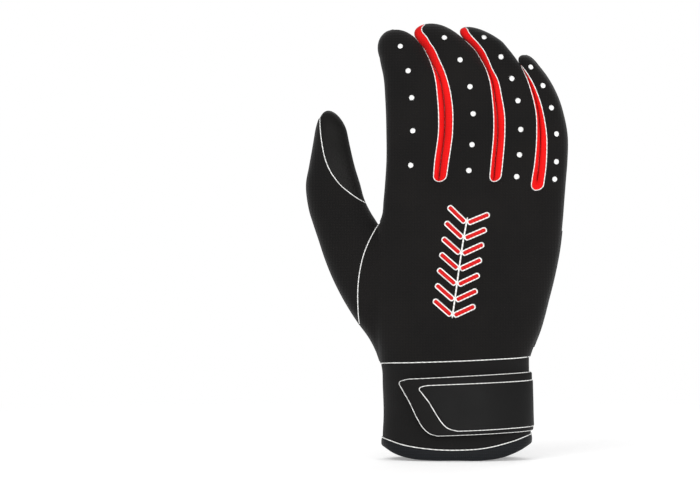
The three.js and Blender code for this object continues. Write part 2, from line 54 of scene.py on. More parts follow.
hand = {
    "length": 246.0,  # mm, hem to middle fingertip
    "breadth": 101.6,  # mm, across the roots of the four fingers
    "depth": 34.0,
    "trunkPower": 2.4,  # of the superellipses: 2 is round, higher is squarer
    "fingerPower": 2.3,
    "shift": (0.580, 2.306, 0.0),  # mm, from the wrist's own middle to the origin
    "curl": 13.0,  # mm, how far the fingertips bend towards the palm
    "curlFrom": 0.6,  # share of the length
    "arch": 3.5,  # mm, how far the outer edges bend towards the palm
    "archMiddle": 0.2,  # share of the breadth
    "archRise": (0.25, 0.45),  # shares of the length over which the arch begins
    "fingerDepth": (20.0, 21.0, 19.5, 17.5),  # mm, index to little finger
    "fingersRise": (0.36, 0.56),  # shares of the length over which they rise out of the trunk
    "tip": (0.986, 1.0, 0.992, 0.927),  # shares of the length
    "dome": (0.921, 0.957, 0.957, 0.903),  # where each tip begins to close
    "tipAcross": (-0.236, -0.042, 0.164, 0.475),  # shares of the breadth
    "pace": (1.35, 1.6, 1.1, 1.4),  # how soon the tips lean over
    "blend": 5.0,  # higher is crisper between the knuckles
    "pressed": 3.6,  # how much squarer the fingers are towards each other
    "pressedFrom": (0.6, 0.68),  # shares of the length over which that begins and ends
    "pressedTo": (0.85, 0.93),
}

# Lines between the digits: (height, across), as shares of the length and of the breadth
digitLines = [
    [(0.18, -0.32), (0.23, -0.326), (0.3, -0.345), (0.4, -0.348), (0.5, -0.34), (0.534, -0.334),
     (0.545, -0.321), (0.557, -0.3105), (0.589, -0.302), (0.64, -0.2915), (0.677, -0.286),
     (0.75, -0.286), (0.823, -0.292), (0.878, -0.303), (0.915, -0.322), (0.942, -0.33), (1.0, -0.35)],
    [(0.2, -0.075), (0.35, -0.05), (0.5, -0.02), (0.617, -0.003), (0.677, 0.012), (0.75, 0.034),
     (0.823, 0.029), (0.878, 0.001), (0.915, -0.048), (0.942, -0.0833), (0.963, -0.122), (1.0, -0.155)],
    [(0.2, 0.185), (0.35, 0.25), (0.5, 0.29), (0.617, 0.301), (0.677, 0.314), (0.75, 0.329),
     (0.823, 0.316), (0.878, 0.288), (0.915, 0.2388), (0.942, 0.1944), (0.963, 0.144), (1.0, 0.1)],
    [(0.2, 0.385), (0.35, 0.48), (0.5, 0.53), (0.617, 0.541), (0.677, 0.558), (0.75, 0.565),
     (0.823, 0.539), (0.878, 0.488), (0.915, 0.4376), (0.942, 0.388), (0.963, 0.345), (1.0, 0.26)],
    [(0.18, 0.5), (0.23, 0.504), (0.25, 0.519), (0.273, 0.541), (0.296, 0.562), (0.319, 0.579),
     (0.365, 0.608), (0.41, 0.636), (0.479, 0.669), (0.54, 0.686), (0.603, 0.698), (0.64, 0.705),
     (0.677, 0.7125), (0.75, 0.7125), (0.787, 0.695), (0.823, 0.669), (0.878, 0.6), (0.915, 0.529),
     (0.942, 0.47), (1.0, 0.36)],
]

# Depth of the trunk of the hand behind and in front of its middle: (height, back, palm), as shares
# of the length and of the depth
trunkDepth = [
    (-0.05, 0.66, 0.66), (0.0, 0.67, 0.67), (0.07, 0.68, 0.68), (0.135, 0.68, 0.68), (0.19, 0.66, 0.66),
    (0.23, 0.62, 0.62), (0.3, 0.54, 0.58), (0.4, 0.48, 0.57), (0.5, 0.43, 0.49), (0.57, 0.36, 0.385),
    (0.605, 0.29, 0.305), (0.63, 0.22, 0.235), (0.645, 0.155, 0.165), (0.653, 0.095, 0.1),
    (0.6575, 0.0, 0.0), (0.68, 0.0, 0.0), (1.1, 0.0, 0.0),
]

thumb = {
    "depth": 24.0,
    "power": 2.3,
    "taper": (0.2, 150.0, 190.0),  # how much flatter the end is, and the heights between in mm
    "baseForward": 5.0,  # mm towards the palm
    "tipForward": 17.0,
    "forward": (0.23, 0.57),  # where it starts to go forward and over how much, shares of the length
    "domeFrom": 183.5,  # mm above the ground
    "tip": (-62.6, 196.6),
    "join": 8.0,  # mm over which it runs into the hand
    "rowStep": 1.3,  # mm
    "rowGaps": (1.0, 0.5),  # mm without a row above the web and below the dome
    "domeRows": 16,
    "seamOverlap": (1.8, 1.4),  # mm, how far the rows start below the base seam and below the lens
    "lensClosing": 3.0,  # mm over which the back panel closes at its top
    # (height, outer side, inner side) in mm; below the web the inner side lies inside the palm
    "sides": [
        (50.0, -31.5, 4.0), (55.0, -33.2, 1.0), (61.0, -35.4, -2.0), (67.0, -38.5, -4.5),
        (78.0, -46.4, -9.0), (90.0, -53.8, -14.5), (101.0, -59.4, -19.5), (112.0, -63.9, -24.5),
        (124.0, -67.9, -29.8), (132.0, -70.6, -34.2), (139.0, -72.8, -38.6), (146.0, -74.2, -42.0),
        (155.2, -74.8, -44.6), (164.2, -73.2, -47.4), (173.2, -71.6, -49.6), (182.2, -70.1, -51.5),
        (190.0, -69.0, -52.8), (200.0, -68.2, -53.8),
    ],
    "web": (-33.2, 7.5, 132.4),  # top of the web between thumb and index finger
    "webSize": (7.5, 7.5, 20.0),
    "webJoin": 5.0,
}

seams = {
    "thumbBase": [(75.6, -44.75), (80.0, -45.2), (86.0, -45.5), (97.6, -45.4), (106.0, -44.4),
                  (116.2, -41.9), (124.0, -38.6), (129.0, -35.9), (132.4, -33.7)],
    "thumbLens": [(143.7, -40.3), (146.0, -44.6), (149.6, -49.8), (153.5, -54.6), (157.9, -58.4),
                  (163.5, -61.9), (169.7, -64.3), (176.0, -65.7), (183.0, -66.7), (189.0, -67.2),
                  (193.4, -67.3)],
    "web": 132.4,
    # (across, height) in mm; both are the same at the two sides of the wrist
    "cuffBack": [(-40.0, 53.8), (-35.0, 53.8), (-32.5, 53.8), (-30.0, 54.1), (-15.0, 54.8), (10.0, 55.7),
                 (35.0, 56.8), (46.0, 57.3), (49.0, 57.5), (51.0, 57.6), (60.0, 57.8)],
    "cuffPalm": [(-40.0, 53.8), (-35.0, 53.8), (-32.5, 53.8), (-30.0, 53.1), (-15.0, 50.3), (5.0, 49.0),
                 (25.0, 51.0), (38.0, 54.4), (46.0, 57.0), (49.0, 57.5), (51.0, 57.6), (60.0, 57.8)],
    "thread": 0.27,  # mm, radius of the white piping
}

strips = {
    # (height, width) in mm of the two parts of each strip. The longer part lies on the finger to the
    # right of it on the back of the hand, and on the finger to the left of it on the palm.
    "shorter": [
        [(150.0, 2.9), (166.4, 3.5), (184.5, 3.5), (203.7, 3.4), (211.6, 2.9), (216.0, 2.3), (219.5, 1.5),
         (222.0, 0.9), (225.1, 0.3), (230.0, 0.2), (238.0, 0.2)],
        [(150.0, 2.3), (166.4, 2.4), (184.5, 2.4), (193.5, 2.1), (203.7, 1.7), (216.0, 1.2), (221.7, 0.5),
         (225.0, 0.25), (238.0, 0.2)],
        [(150.0, 3.0), (157.4, 3.0), (166.4, 2.6), (184.5, 2.1), (193.5, 1.5), (203.7, 1.2), (208.2, 1.0),
         (215.0, 0.5), (224.0, 0.3)],
    ],
    "longer": [
        [(150.0, 3.7), (166.4, 4.3), (184.5, 4.45), (203.7, 4.4), (216.1, 4.1), (221.7, 4.9), (227.4, 5.5),
         (234.0, 5.9), (238.7, 6.3), (240.9, 4.6), (243.2, 3.1), (246.0, 1.6)],
        [(150.0, 3.6), (166.4, 4.1), (184.5, 3.9), (193.5, 4.1), (203.7, 3.7), (213.8, 3.3), (219.5, 2.9),
         (225.1, 3.9), (231.9, 4.9), (238.7, 5.6), (241.0, 4.9), (243.2, 3.6), (246.0, 2.0)],
        [(150.0, 3.9), (157.4, 4.0), (166.4, 4.0), (175.5, 3.7), (184.5, 3.3), (193.5, 2.7), (203.7, 2.2),
         (211.6, 1.8), (217.0, 1.3), (224.0, 0.8)],
    ],
    "bottom": {back: (156.3, 156.3, 151.4), palm: (160.4, 160.4, 158.2)},  # mm
    "top": ((238.0, 245.7), (237.0, 243.7), (222.0, 222.5)),  # of the shorter and the longer part
    "palmTop": ((238.0, 241.2), (237.0, 244.0), (222.0, 232.0)),
    "closing": ((3.0, 1.6), (3.0, 1.6), (8.0, 8.0)),  # mm over which a strip closes at its top
    "palmWidth": 0.86,
    "lowerEnd": 3.4,  # mm, height of the rounded lower end
    "gap": 0.006,  # mm, half the slit between two fingers
    "gapFrom": (154.0, 159.0),  # heights over which the slit opens
}

panel = {
    "wall": 0.6,  # mm, leather and fabric
    "columns": 28,  # points across a finger, a strip and the thumb's two parts
    "stripColumns": 5,
    "thumbColumns": 26,
    "thumbBackColumns": 24,
    "thumbLensColumns": 18,
    "rowStep": 1.1,  # mm
    "domeGap": 0.4,  # mm without a row below the dome
    "domeRows": 15,
    "stripShare": 0.8,  # of half a finger that a strip may take at most
    "sink": 25.0,  # mm, how steeply a section drops outside its own side lines
    "merge": 8e-6,  # m, points closer than this are one
    "empty": 2e-6,  # m, faces narrower than this are dropped
}

vents = {
    "radius": 1.55,  # mm
    "room": 0.75,  # mm, how far the quads round a hole are taken out
    "rings": (0.45, 0.8, 1.0),  # of points from there to the hole, as shares of the way
    # heights of the holes' middles, index to little finger
    "back": [
        (0.947, 0.89, 0.828, 0.752, 0.673),
        (0.967, 0.915, 0.853, 0.791, 0.72, 0.661),
        (0.968, 0.922, 0.872, 0.821, 0.755, 0.697, 0.647),
        (0.899, 0.856, 0.805, 0.745, 0.681, 0.641),
    ],
    "palm": [
        (0.933, 0.873, 0.807, 0.733, 0.662),
        (0.936, 0.864, 0.809, 0.745, 0.686),
        (0.924, 0.864, 0.807, 0.747, 0.674),
        (0.836, 0.756, 0.697),
    ],
}


def smoothCurve(table, at, column=1):
    # Cubic Hermite curve through the rows of a table (place, value ...). The slope at each row is
    # the weighted difference across its two neighbours.
    table = np.asarray(table, float)
    place, value = table[:, 0], table[:, column]
    at = np.clip(np.asarray(at, float), place[0], place[-1])
    slope = np.gradient(value, place)
    k = np.clip(np.searchsorted(place, at) - 1, 0, len(place) - 2)
    step = place[k + 1] - place[k]
    t = (at - place[k]) / step
    return (
        (1 + 2 * t) * (1 - t) ** 2 * value[k]
        + t * (1 - t) ** 2 * step * slope[k]
        + t * t * (3 - 2 * t) * value[k + 1]
        + t * t * (t - 1) * step * slope[k + 1]
    )


def ease(x, low, high):
    # Smooth step: 3t^2 - 2t^3 for t from 0 at low to 1 at high.
    t = np.clip((x - low) / (high - low), 0, 1)
    return t * t * (3 - 2 * t)


def softMax(a, b, reach):
    # The larger of two values, rounded where they are closer than the reach:
    # max(a, b) + reach h^3 / 6 with h = (reach - |a - b|) / reach, at least 0.
    h = np.maximum(reach - np.abs(a - b), 0) / reach
    return np.maximum(a, b) + h**3 * reach / 6


def roundSection(across, power, depth):
    # Half of a superellipse, depth (1 - |a|^n)^(1/n). Outside |a| = 1 it goes on steeply below zero,
    # -s sqrt(|a|^n - 1), whatever the depth.
    t = 1 - np.abs(across) ** power
    t = np.where(np.abs(t) < 1e-9, 0.0, t)  # else rounding at the side line keeps the halves from meeting
    return depth * np.maximum(t, 0) ** (1 / power) - panel["sink"] * np.sqrt(np.maximum(-t, 0))


def quarter(d):
    # Quarter of a circle, sqrt(1 - (1 - d)^2), from 0 at d = 0 to 1 at d = 1 and above
    return np.sqrt(1 - (1 - np.clip(d, 0, 1)) ** 2)


def evenAngles(count):
    # Angles once round, without the last
    return np.linspace(0, 2 * np.pi, count, endpoint=False)


def keepSign(value, power):
    # sign(v) |v|^p, which turns cosine and sine into those of a superellipse
    return np.sign(value) * np.abs(value) ** power


def digitLine(number, z):
    # x in mm of the line between two digits at height z
    return smoothCurve(digitLines[number], z / hand["length"]) * hand["breadth"]


def closeTip(left, right, rise, tipAcross, lean):
    # Left side, right side and dome factor of a digit that closes as an ellipse, sqrt(1 - r^2), while
    # its middle leans towards its tip's own place.
    shrink = np.sqrt(1 - rise**2)
    middle = (left + right) / 2
    middle = middle + (tipAcross - middle) * lean
    half = (right - left) / 2 * shrink
    return middle - half, middle + half, shrink


def fingerSides(number, z):
    # The two sides of a finger and its dome factor at height z. Its tip leans by r (p - (p - 1) r).
    share = z / hand["length"]
    dome, tip, pace = hand["dome"][number], hand["tip"][number], hand["pace"][number]
    below = np.minimum(z, dome * hand["length"])
    slit = strips["gap"] * ease(z, *strips["gapFrom"])
    left = digitLine(number, below) + slit * (number > 0)
    right = digitLine(number + 1, below) - slit * (number < 3)
    rise = np.clip((share - dome) / (tip - dome), 0, 1)
    lean = rise * (pace - (pace - 1) * rise)
    return closeTip(left, right, rise, hand["tipAcross"][number] * hand["breadth"], lean)


def middleSurface(x, z):
    # y of the surface between back and palm: the curl of the fingers plus the arch of the hand.
    share = z / hand["length"]
    curl = np.maximum(0, (share - hand["curlFrom"]) / (1 - hand["curlFrom"]))
    across = (x - hand["archMiddle"] * hand["breadth"]) / (hand["breadth"] / 2)
    return hand["curl"] * curl**2 + hand["arch"] * across**2 * ease(share, *hand["archRise"])


def handHeight(x, z, side):
    # Height over the middle surface: the p-norm of the rounded sections of the trunk and of the four
    # fingers, (sum h^p)^(1/p), so that knuckles and valleys run into each other. Where a finger faces
    # its neighbour its section is squarer, as the red strips press against each other there.
    share = z / hand["length"]
    left, right = digitLine(0, z), digitLine(4, z)
    across = (x - (left + right) / 2) / ((right - left) / 2)
    depth = np.maximum(0, smoothCurve(trunkDepth, share, 1 if side == back else 2)) * hand["depth"]
    trunk = roundSection(across, hand["trunkPower"], depth)
    power = hand["blend"]
    total, nearest = np.maximum(trunk, 0) ** power, trunk
    squarer = hand["pressed"] * ease(share, *hand["pressedFrom"]) * (1 - ease(share, *hand["pressedTo"]))
    for number, fingerDepth in enumerate(hand["fingerDepth"]):
        low, high, shrink = fingerSides(number, z)
        half = np.maximum((high - low) / 2, 1e-6)
        fade = ease(share, *hand["fingersRise"])
        across = (x - (low + high) / 2) / half
        facing = np.where(across > 0, float(number < 3), float(number > 0))
        height = roundSection(across, hand["fingerPower"] + squarer * facing, fingerDepth / 2 * shrink * fade)
        total, nearest = total + np.maximum(height, 0) ** power, np.maximum(nearest, height)
    return np.where(total > 0, total ** (1 / power), np.minimum(nearest, 0))


def thumbSides(z):
    # The same for the thumb, whose tip leans by r^2
    rise = np.clip((z - thumb["domeFrom"]) / (thumb["tip"][1] - thumb["domeFrom"]), 0, 1)
    left, right = smoothCurve(thumb["sides"], z, 1), smoothCurve(thumb["sides"], z, 2)
    return closeTip(left, right, rise, thumb["tip"][0], rise**2)


def thumbMiddle(z):
    # y of the thumb's own middle surface, which goes forward evenly with height
    low, over = thumb["forward"]
    rise = np.clip((z / hand["length"] - low) / over, 0, 1)
    return thumb["baseForward"] + (thumb["tipForward"] - thumb["baseForward"]) * rise


def surface(x, z, side):
    # y of the glove's skin: the trunk and fingers, the thumb's rounded section and the domed web,
    # joined with softMax.
    hull = side * middleSurface(x, z) + handHeight(x, z, side)
    left, right, shrink = thumbSides(z)
    half = np.maximum((right - left) / 2, 0.01)
    flatter, low, high = thumb["taper"]
    depth = thumb["depth"] / 2 * (1 - flatter * ease(z, low, high)) * shrink
    digit = roundSection((x - (left + right) / 2) / half, thumb["power"], depth)
    hull = softMax(hull, side * thumbMiddle(z) + digit, thumb["join"])
    webX, webY, webZ = thumb["web"]
    halfX, halfY, rise = thumb["webSize"]
    fall = np.clip((webZ - z) / rise, 0, 2)
    dome = np.sqrt(1 - (1 - fall) ** 2)
    web = roundSection((x - webX) / (halfX * np.maximum(dome, 0.01)), 2.0, halfY * dome)
    low = np.where(z < webZ, side * webY + web, -1e3)  # above its top the web counts for nothing
    return side * softMax(hull, low, thumb["webJoin"])


def skin(x, z, side):
    # Points (x, y, z) on one side of the glove
    return np.stack([x, surface(x, z, side), z], -1)


def toMetres(points):
    # (p + shift) / 1000
    return (np.asarray(points, float).reshape(-1, 3) + np.array(hand["shift"])) / 1000


def gridFaces(rows, columns, start=0, flip=False, wrap=False):
    # Quads of a grid of rows x columns points; the columns close on themselves with wrap.
    r = np.arange(rows - 1)[:, None] * columns
    c = np.arange(columns if wrap else columns - 1)[None, :]
    n = (c + 1) % columns
    quads = np.stack([r + c, r + n, r + n + columns, r + c + columns], -1).reshape(-1, 4) + start
    return quads[:, ::-1] if flip else quads


def gridNormals(points):
    # Unit normals of a grid of points, from the differences between neighbours along both ways.
    across = np.gradient(points, axis=1)
    along = np.gradient(points, axis=0)
    normal = np.cross(across, along)
    return normal / np.maximum(np.linalg.norm(normal, axis=-1, keepdims=True), 1e-9)


class Shell:
    # Collects points and faces for one mesh; both ways to add return the shell itself

    def __init__(self):
        self.points, self.faces, self.count = [], [], 0

    def add(self, points, faces):
        points = np.asarray(points, float).reshape(-1, 3)
        self.points.append(points)
        self.faces.extend((np.asarray(f) + self.count).tolist() for f in faces)
        self.count += len(points)
        return self

    def addGrid(self, points, flip=False, wrap=False):
        rows, columns = points.shape[:2]
        return self.add(points, gridFaces(rows, columns, flip=flip, wrap=wrap))


def tube(grid):
    # Shell of one grid that closes round
    return Shell().addGrid(grid, flip=True, wrap=True)


def pad(outer, inner):
    # Closed shell of two grids that share their outline
    return Shell().addGrid(outer, flip=True).addGrid(inner)


def addObject(name, data):
    # A new object of the scene
    item = bpy.data.objects.new(name, data)
    bpy.context.scene.collection.objects.link(item)
    return item


def makePiece(name, shell, body, nodes, material, wall=0.0):
    # Puts a shell into a mesh: doubles merged, empty faces dropped, a wall added inwards.
    mesh = bpy.data.meshes.new(name)
    mesh.from_pydata(toMetres(np.concatenate(shell.points)).tolist(), [], shell.faces)
    bm = bmesh.new()
    bm.from_mesh(mesh)
    bmesh.ops.remove_doubles(bm, verts=bm.verts, dist=panel["merge"])
    bmesh.ops.dissolve_degenerate(bm, edges=bm.edges, dist=panel["empty"])
    loose = [v for v in bm.verts if not v.link_faces]
    bmesh.ops.delete(bm, geom=loose, context="VERTS")
    bm.to_mesh(mesh)
    bm.free()
    mesh.polygons.foreach_set("use_smooth", np.ones(len(mesh.polygons), bool))
    piece = addObject(name, mesh)
    mesh.materials.append(material)
    if wall:
        solid = piece.modifiers.new("wall", "SOLIDIFY")
        solid.thickness = wall / 1000
        solid.offset = -1
        solid.use_even_offset = False
    if body:
        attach(piece, body)
    if nodes:
        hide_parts(*nodes)
    return piece


def cordPoints(path, radius, sides=8, closed=False):
    # Round cord along a path: centre + r (cos a * s + sin a * t) with s, t square to the path.
    path = np.asarray(path, float)
    if closed:
        tangent = np.roll(path, -1, 0) - np.roll(path, 1, 0)
    else:
        tangent = np.gradient(path, axis=0)
    tangent /= np.maximum(np.linalg.norm(tangent, axis=1, keepdims=True), 1e-9)
    guide = np.where(np.abs(tangent[:, 1:2]) < 0.9, [[0.0, 1.0, 0.0]], [[1.0, 0.0, 0.0]])
    side = np.cross(tangent, guide)
    side /= np.linalg.norm(side, axis=1, keepdims=True)
    other = np.cross(side, tangent)
    angle = evenAngles(sides)
    ring = np.cos(angle)[None, :, None] * side[:, None] + np.sin(angle)[None, :, None] * other[:, None]
    width = np.full(len(path), radius)
    if not closed:
        width[[0, -1]] = 0.0
    points = path[:, None] + ring * width[:, None, None]
    return np.concatenate([points, points[:1]]) if closed else points


def evenPath(path, step):
    # The same path with points at an even distance.
    path = np.asarray(path, float)
    run = np.concatenate([[0], np.cumsum(np.linalg.norm(np.diff(path, axis=0), axis=1))])
    keep = np.concatenate([[True], np.diff(run) > 1e-6])
    count = max(2, int(round(run[-1] / step)) + 1)
    at = np.linspace(0, run[-1], count)
    return np.stack([np.interp(at, run[keep], path[keep, k]) for k in range(3)], -1)


# Materials


def linear(code):
    # sRGB hex to linear: c / 12.92 below 0.04045, else ((c + 0.055) / 1.055)^2.4.
    c = np.array([int(code[i : i + 2], 16) for i in (0, 2, 4)]) / 255
    c = np.where(c <= 0.04045, c / 12.92, ((c + 0.055) / 1.055) ** 2.4)
    return (*c.tolist(), 1.0)


def addNode(tree, kind, settings=None, **links):
    # Adds a node. Settings are attributes or input values, links are outputs for its inputs.
    node = tree.nodes.new(kind)
    for key, value in (settings or {}).items():
        if isinstance(key, int) or key in node.inputs:
            node.inputs[key].default_value = value
        else:
            setattr(node, key, value)
    for key, output in links.items():
        numbered = key[0] == "i" and key[1:].isdigit()
        tree.links.new(output, node.inputs[int(key[1:]) if numbered else key.replace("_", " ")])
    return node


def newMaterial(name, color, roughness, **shader):
    # A material, its tree, its shader and the coordinates of its object
    material = bpy.data.materials.new(name)
    material.use_nodes = True
    tree = material.node_tree
    surfaceNode = tree.nodes["Principled BSDF"]
    surfaceNode.inputs["Base Color"].default_value = linear(color)
    surfaceNode.inputs["Roughness"].default_value = roughness
    for key, value in shader.items():
        surfaceNode.inputs[key.replace("_", " ")].default_value = value
    spot = addNode(tree, "ShaderNodeTexCoord").outputs["Object"]
    return material, tree, surfaceNode, spot


def bands(pitch, axis, **settings):
    # Settings of a wave texture with one band in each pitch of so many mm: scale 2 pi / (20 pitch)
    return {"Scale": 2 * math.pi / (pitch / 1000) / 20, "bands_direction": axis, **settings}


def shade(tree, shader, pattern, dark, light, low, high, roughness=None):
    # Colour from dark to light over a pattern between low and high.
    ramp = addNode(tree, "ShaderNodeMapRange", {"From Min": low, "From Max": high}, Value=pattern)
    colours = {"data_type": "RGBA", 6: linear(dark), 7: linear(light)}
    mix = addNode(tree, "ShaderNodeMix", colours, i0=ramp.outputs[0])
    tree.links.new(mix.outputs[2], shader.inputs["Base Color"])
    if roughness:
        ends = {"From Min": low, "From Max": high, "To Min": roughness[0], "To Max": roughness[1]}
        rough = addNode(tree, "ShaderNodeMapRange", ends, Value=pattern)
        tree.links.new(rough.outputs[0], shader.inputs["Roughness"])


def relief(tree, shader, height, depth):
    # Bump of the given depth in metres.
    bump = addNode(tree, "ShaderNodeBump", {"Strength": 1.0, "Distance": depth}, Height=height)
    tree.links.new(bump.outputs[0], shader.inputs["Normal"])


def leather():
    # Tanned goatskin, pressed with a fine pebble grain and dyed through: soft, with a low satin shine.
    # The grain is drawn 1.6 mm wide, about twice its real size, so that it shows.
    material, tree, shader, spot = newMaterial("goatskin_black", "100f0e", 0.6, Specular_IOR_Level=0.16)
    grain = addNode(tree, "ShaderNodeTexVoronoi", {"Scale": 620.0, "Randomness": 0.9}, Vector=spot)
    broad = addNode(tree, "ShaderNodeTexNoise", {"Scale": 28.0, "Detail": 3.0}, Vector=spot)
    fine = addNode(tree, "ShaderNodeTexNoise", {"Scale": 1500.0, "Detail": 2.0}, Vector=spot)
    shade(tree, shader, broad.outputs[0], "0d0c0b", "121110", 0.35, 0.65, (0.68, 0.56))
    both = {"operation": "MULTIPLY_ADD", 1: 0.4}
    height = addNode(tree, "ShaderNodeMath", both, i0=fine.outputs[0], i2=grain.outputs[0])
    relief(tree, shader, height.outputs[0], 0.00016)
    return material


def knit(name, dark, light, pitch, depth, sheen=0.06, **extra):
    # Warp-knitted stretch fabric: rows of small loops, matt, with a soft sheen where it turns away.
    # The loops are drawn at the given pitch in mm, coarser than the real thread so that they show.
    material, tree, shader, spot = newMaterial(
        name, light, 0.85, Sheen_Weight=sheen, Sheen_Roughness=0.5, **extra)
    uneven = {"Distortion": 0.6, "Detail Scale": 3.0}
    wales = addNode(tree, "ShaderNodeTexWave", bands(pitch, "X", **uneven), Vector=spot)
    courses = addNode(tree, "ShaderNodeTexWave", bands(pitch, "Z", **uneven), Vector=spot)
    product = {"operation": "MULTIPLY"}
    loops = addNode(tree, "ShaderNodeMath", product, i0=wales.outputs["Fac"], i1=courses.outputs["Fac"])
    broad = addNode(tree, "ShaderNodeTexNoise", {"Scale": 40.0, "Detail": 2.0}, Vector=spot)
    both = {"operation": "MULTIPLY_ADD", 1: 0.5}
    tone = addNode(tree, "ShaderNodeMath", both, i0=loops.outputs[0], i2=broad.outputs[0])
    shade(tree, shader, tone.outputs[0], dark, light, 0.35, 0.95)
    relief(tree, shader, loops.outputs[0], depth)
    return material


def neoprene():
    # Foamed neoprene with a knitted nylon face: matt black, evenly matt, with a very fine knit.
    material, tree, shader, spot = newMaterial(
        "neoprene_black", "0f0e0e", 0.8, Specular_IOR_Level=0.15, Sheen_Weight=0.04, Sheen_Roughness=0.6)
    knots = addNode(tree, "ShaderNodeTexVoronoi", {"Scale": 900.0, "Randomness": 0.35}, Vector=spot)
    broad = addNode(tree, "ShaderNodeTexNoise", {"Scale": 22.0, "Detail": 3.0}, Vector=spot)
    shade(tree, shader, broad.outputs[0], "090808", "100f0f", 0.35, 0.65)
    relief(tree, shader, knots.outputs[0], 0.0001)
    return material


def webbing():
    # Woven nylon binding tape: ribs across the tape, slightly blue and a little shinier than the cuff.
    material, tree, shader, spot = newMaterial(
        "nylon_binding", "111318", 0.6, Specular_IOR_Level=0.15, Sheen_Weight=0.04)
    ribs = addNode(tree, "ShaderNodeTexWave", bands(1.1, "X", Distortion=0.4), Vector=spot)
    rows = addNode(tree, "ShaderNodeTexWave", bands(1.6, "Z"), Vector=spot)
    product = {"operation": "MULTIPLY"}
    weave = addNode(tree, "ShaderNodeMath", product, i0=ribs.outputs["Fac"], i1=rows.outputs["Fac"])
    shade(tree, shader, weave.outputs[0], "0d0f12", "14171c", 0.1, 0.8)
    relief(tree, shader, weave.outputs[0], 0.00012)
    return material


def rubber(name, color, roughness, grit, depth):
    # Moulded synthetic rubber: even colour, a dull shine and a fine spark-eroded texture.
    material, tree, shader, spot = newMaterial(name, color, roughness, Specular_IOR_Level=0.14)
    fine = addNode(tree, "ShaderNodeTexNoise", {"Scale": grit, "Detail": 3.0}, Vector=spot)
    broad = addNode(tree, "ShaderNodeTexNoise", {"Scale": 30.0, "Detail": 2.0}, Vector=spot)
    ends = {"From Min": 0.35, "From Max": 0.65, "To Min": roughness + 0.07, "To Max": roughness - 0.07}
    rough = addNode(tree, "ShaderNodeMapRange", ends, Value=broad.outputs[0])
    tree.links.new(rough.outputs[0], shader.inputs["Roughness"])
    relief(tree, shader, fine.outputs[0], depth)
    return material


def thread(name, dark, light, sheen=0.2, **extra):
    # Twisted polyester cord: a row of short slanting strands, slightly shiny.
    # They are drawn 1.4 mm wide, coarser than real strands, so that they show.
    material, tree, shader, spot = newMaterial(name, light, 0.55, Sheen_Weight=sheen, **extra)
    strands = addNode(tree, "ShaderNodeTexWave", bands(1.4, "DIAGONAL", Distortion=0.5), Vector=spot)
    shade(tree, shader, strands.outputs["Fac"], dark, light, 0.0, 0.7)
    relief(tree, shader, strands.outputs["Fac"], 0.00012)
    return material


goatskin = leather()
backKnit = knit("microfibre_black", "0b0a0a", "131110", 1.6, 0.00012, Specular_IOR_Level=0.15)
redKnit = knit("spandex_red", "d41212", "e41818", 1.3, 0.0001, 0.02, Specular_IOR_Level=0.1)
whiteKnit = knit("liner_white", "f2f2f0", "ffffff", 1.2, 0.00005)
cuffFoam = neoprene()
hemTape = webbing()
gripRubber = rubber("silicone_black", "101010", 0.5, 1400.0, 0.00005)
ringRubber = rubber("silicone_grey", "8e8e8c", 0.5, 1400.0, 0.00003)
strapRubber = rubber("strap_rubber", "0f0e0e", 0.6, 1600.0, 0.00006)
coverRubber = rubber("cover_rubber", "0e0e0e", 0.55, 1900.0, 0.00004)
whiteThread = thread("piping_white", "cfcfcc", "f6f6f4")
blackThread = thread("welt_black", "0c0b0b", "171514")
redThread = thread("embroidery_red", "b80f0f", "d01515", 0.02, Specular_IOR_Level=0.12)
hookNylon = rubber("hook_nylon", "151515", 0.6, 900.0, 0.0003)
print("materials ready")

# Panels of the hand

webTop = seams["web"]
lowRow, settledRow, splitRow = 55.0, 72.0, 172.0  # mm: lowest row, end of the settling, last common row
rowSteps = [  # (from, to, step) in mm
    (lowRow, 128.0, 1.8), (128.0, webTop - 0.2, 0.7), (webTop + 1.6, 150.0, 1.4), (150.0, 166.0, 0.55),
    (166.0, splitRow + 0.1, 1.0),
]


def rowHeights():
    # Common rows from the cuff to the middle of the fingers, close together at the slits.
    rows = [np.arange(*step) for step in rowSteps]
    web = webTop + np.array([0.0, 0.02, 0.3, 0.8])
    ends = np.array(strips["bottom"][back] + strips["bottom"][palm])
    return np.unique(np.round(np.concatenate([*rows, web, ends]), 4))


commonRows = rowHeights()


def fingerRows(number):
    # The common rows, even rows to the dome and rows by the sine of even angles up to the tip
    dome = hand["dome"][number] * hand["length"]
    tip = hand["tip"][number] * hand["length"]
    straight = np.arange(splitRow + panel["rowStep"], dome - panel["domeGap"], panel["rowStep"])
    closing = dome + (tip - dome) * np.sin(np.linspace(0, np.pi / 2, panel["domeRows"]))
    return np.concatenate([commonRows, straight, closing])


def cuffSeam(x, side):
    # Height of the cuff's upper seam at x
    return smoothCurve(seams["cuffBack"] if side == back else seams["cuffPalm"], x)


def outerSides(z):
    # Outline of the glove with its thumb at height z
    return np.minimum(thumbSides(z)[0], digitLine(0, z)), digitLine(4, z)


def settleRows(x, z, side):
    # The lowest rows are drawn down or up so that the first one lies on the cuff seam, and stretched
    # to the outline at their new height: x' = left' + (x - left) / (right - left) (right' - left').
    seam = cuffSeam(x, side)
    t = np.clip((z - lowRow) / (settledRow - lowRow), 0, 1)
    settled = np.where(z < settledRow, seam + t * (settledRow - seam), z)
    left, right = outerSides(z)
    newLeft, newRight = outerSides(settled)
    return newLeft + (x - left) / (right - left) * (newRight - newLeft), settled


def stripTop(strip, side, onRight):
    # Height at which a strip ends on one of its two fingers
    longer = int(onRight == (side == back))
    return strips["top" if side == back else "palmTop"][strip][longer]


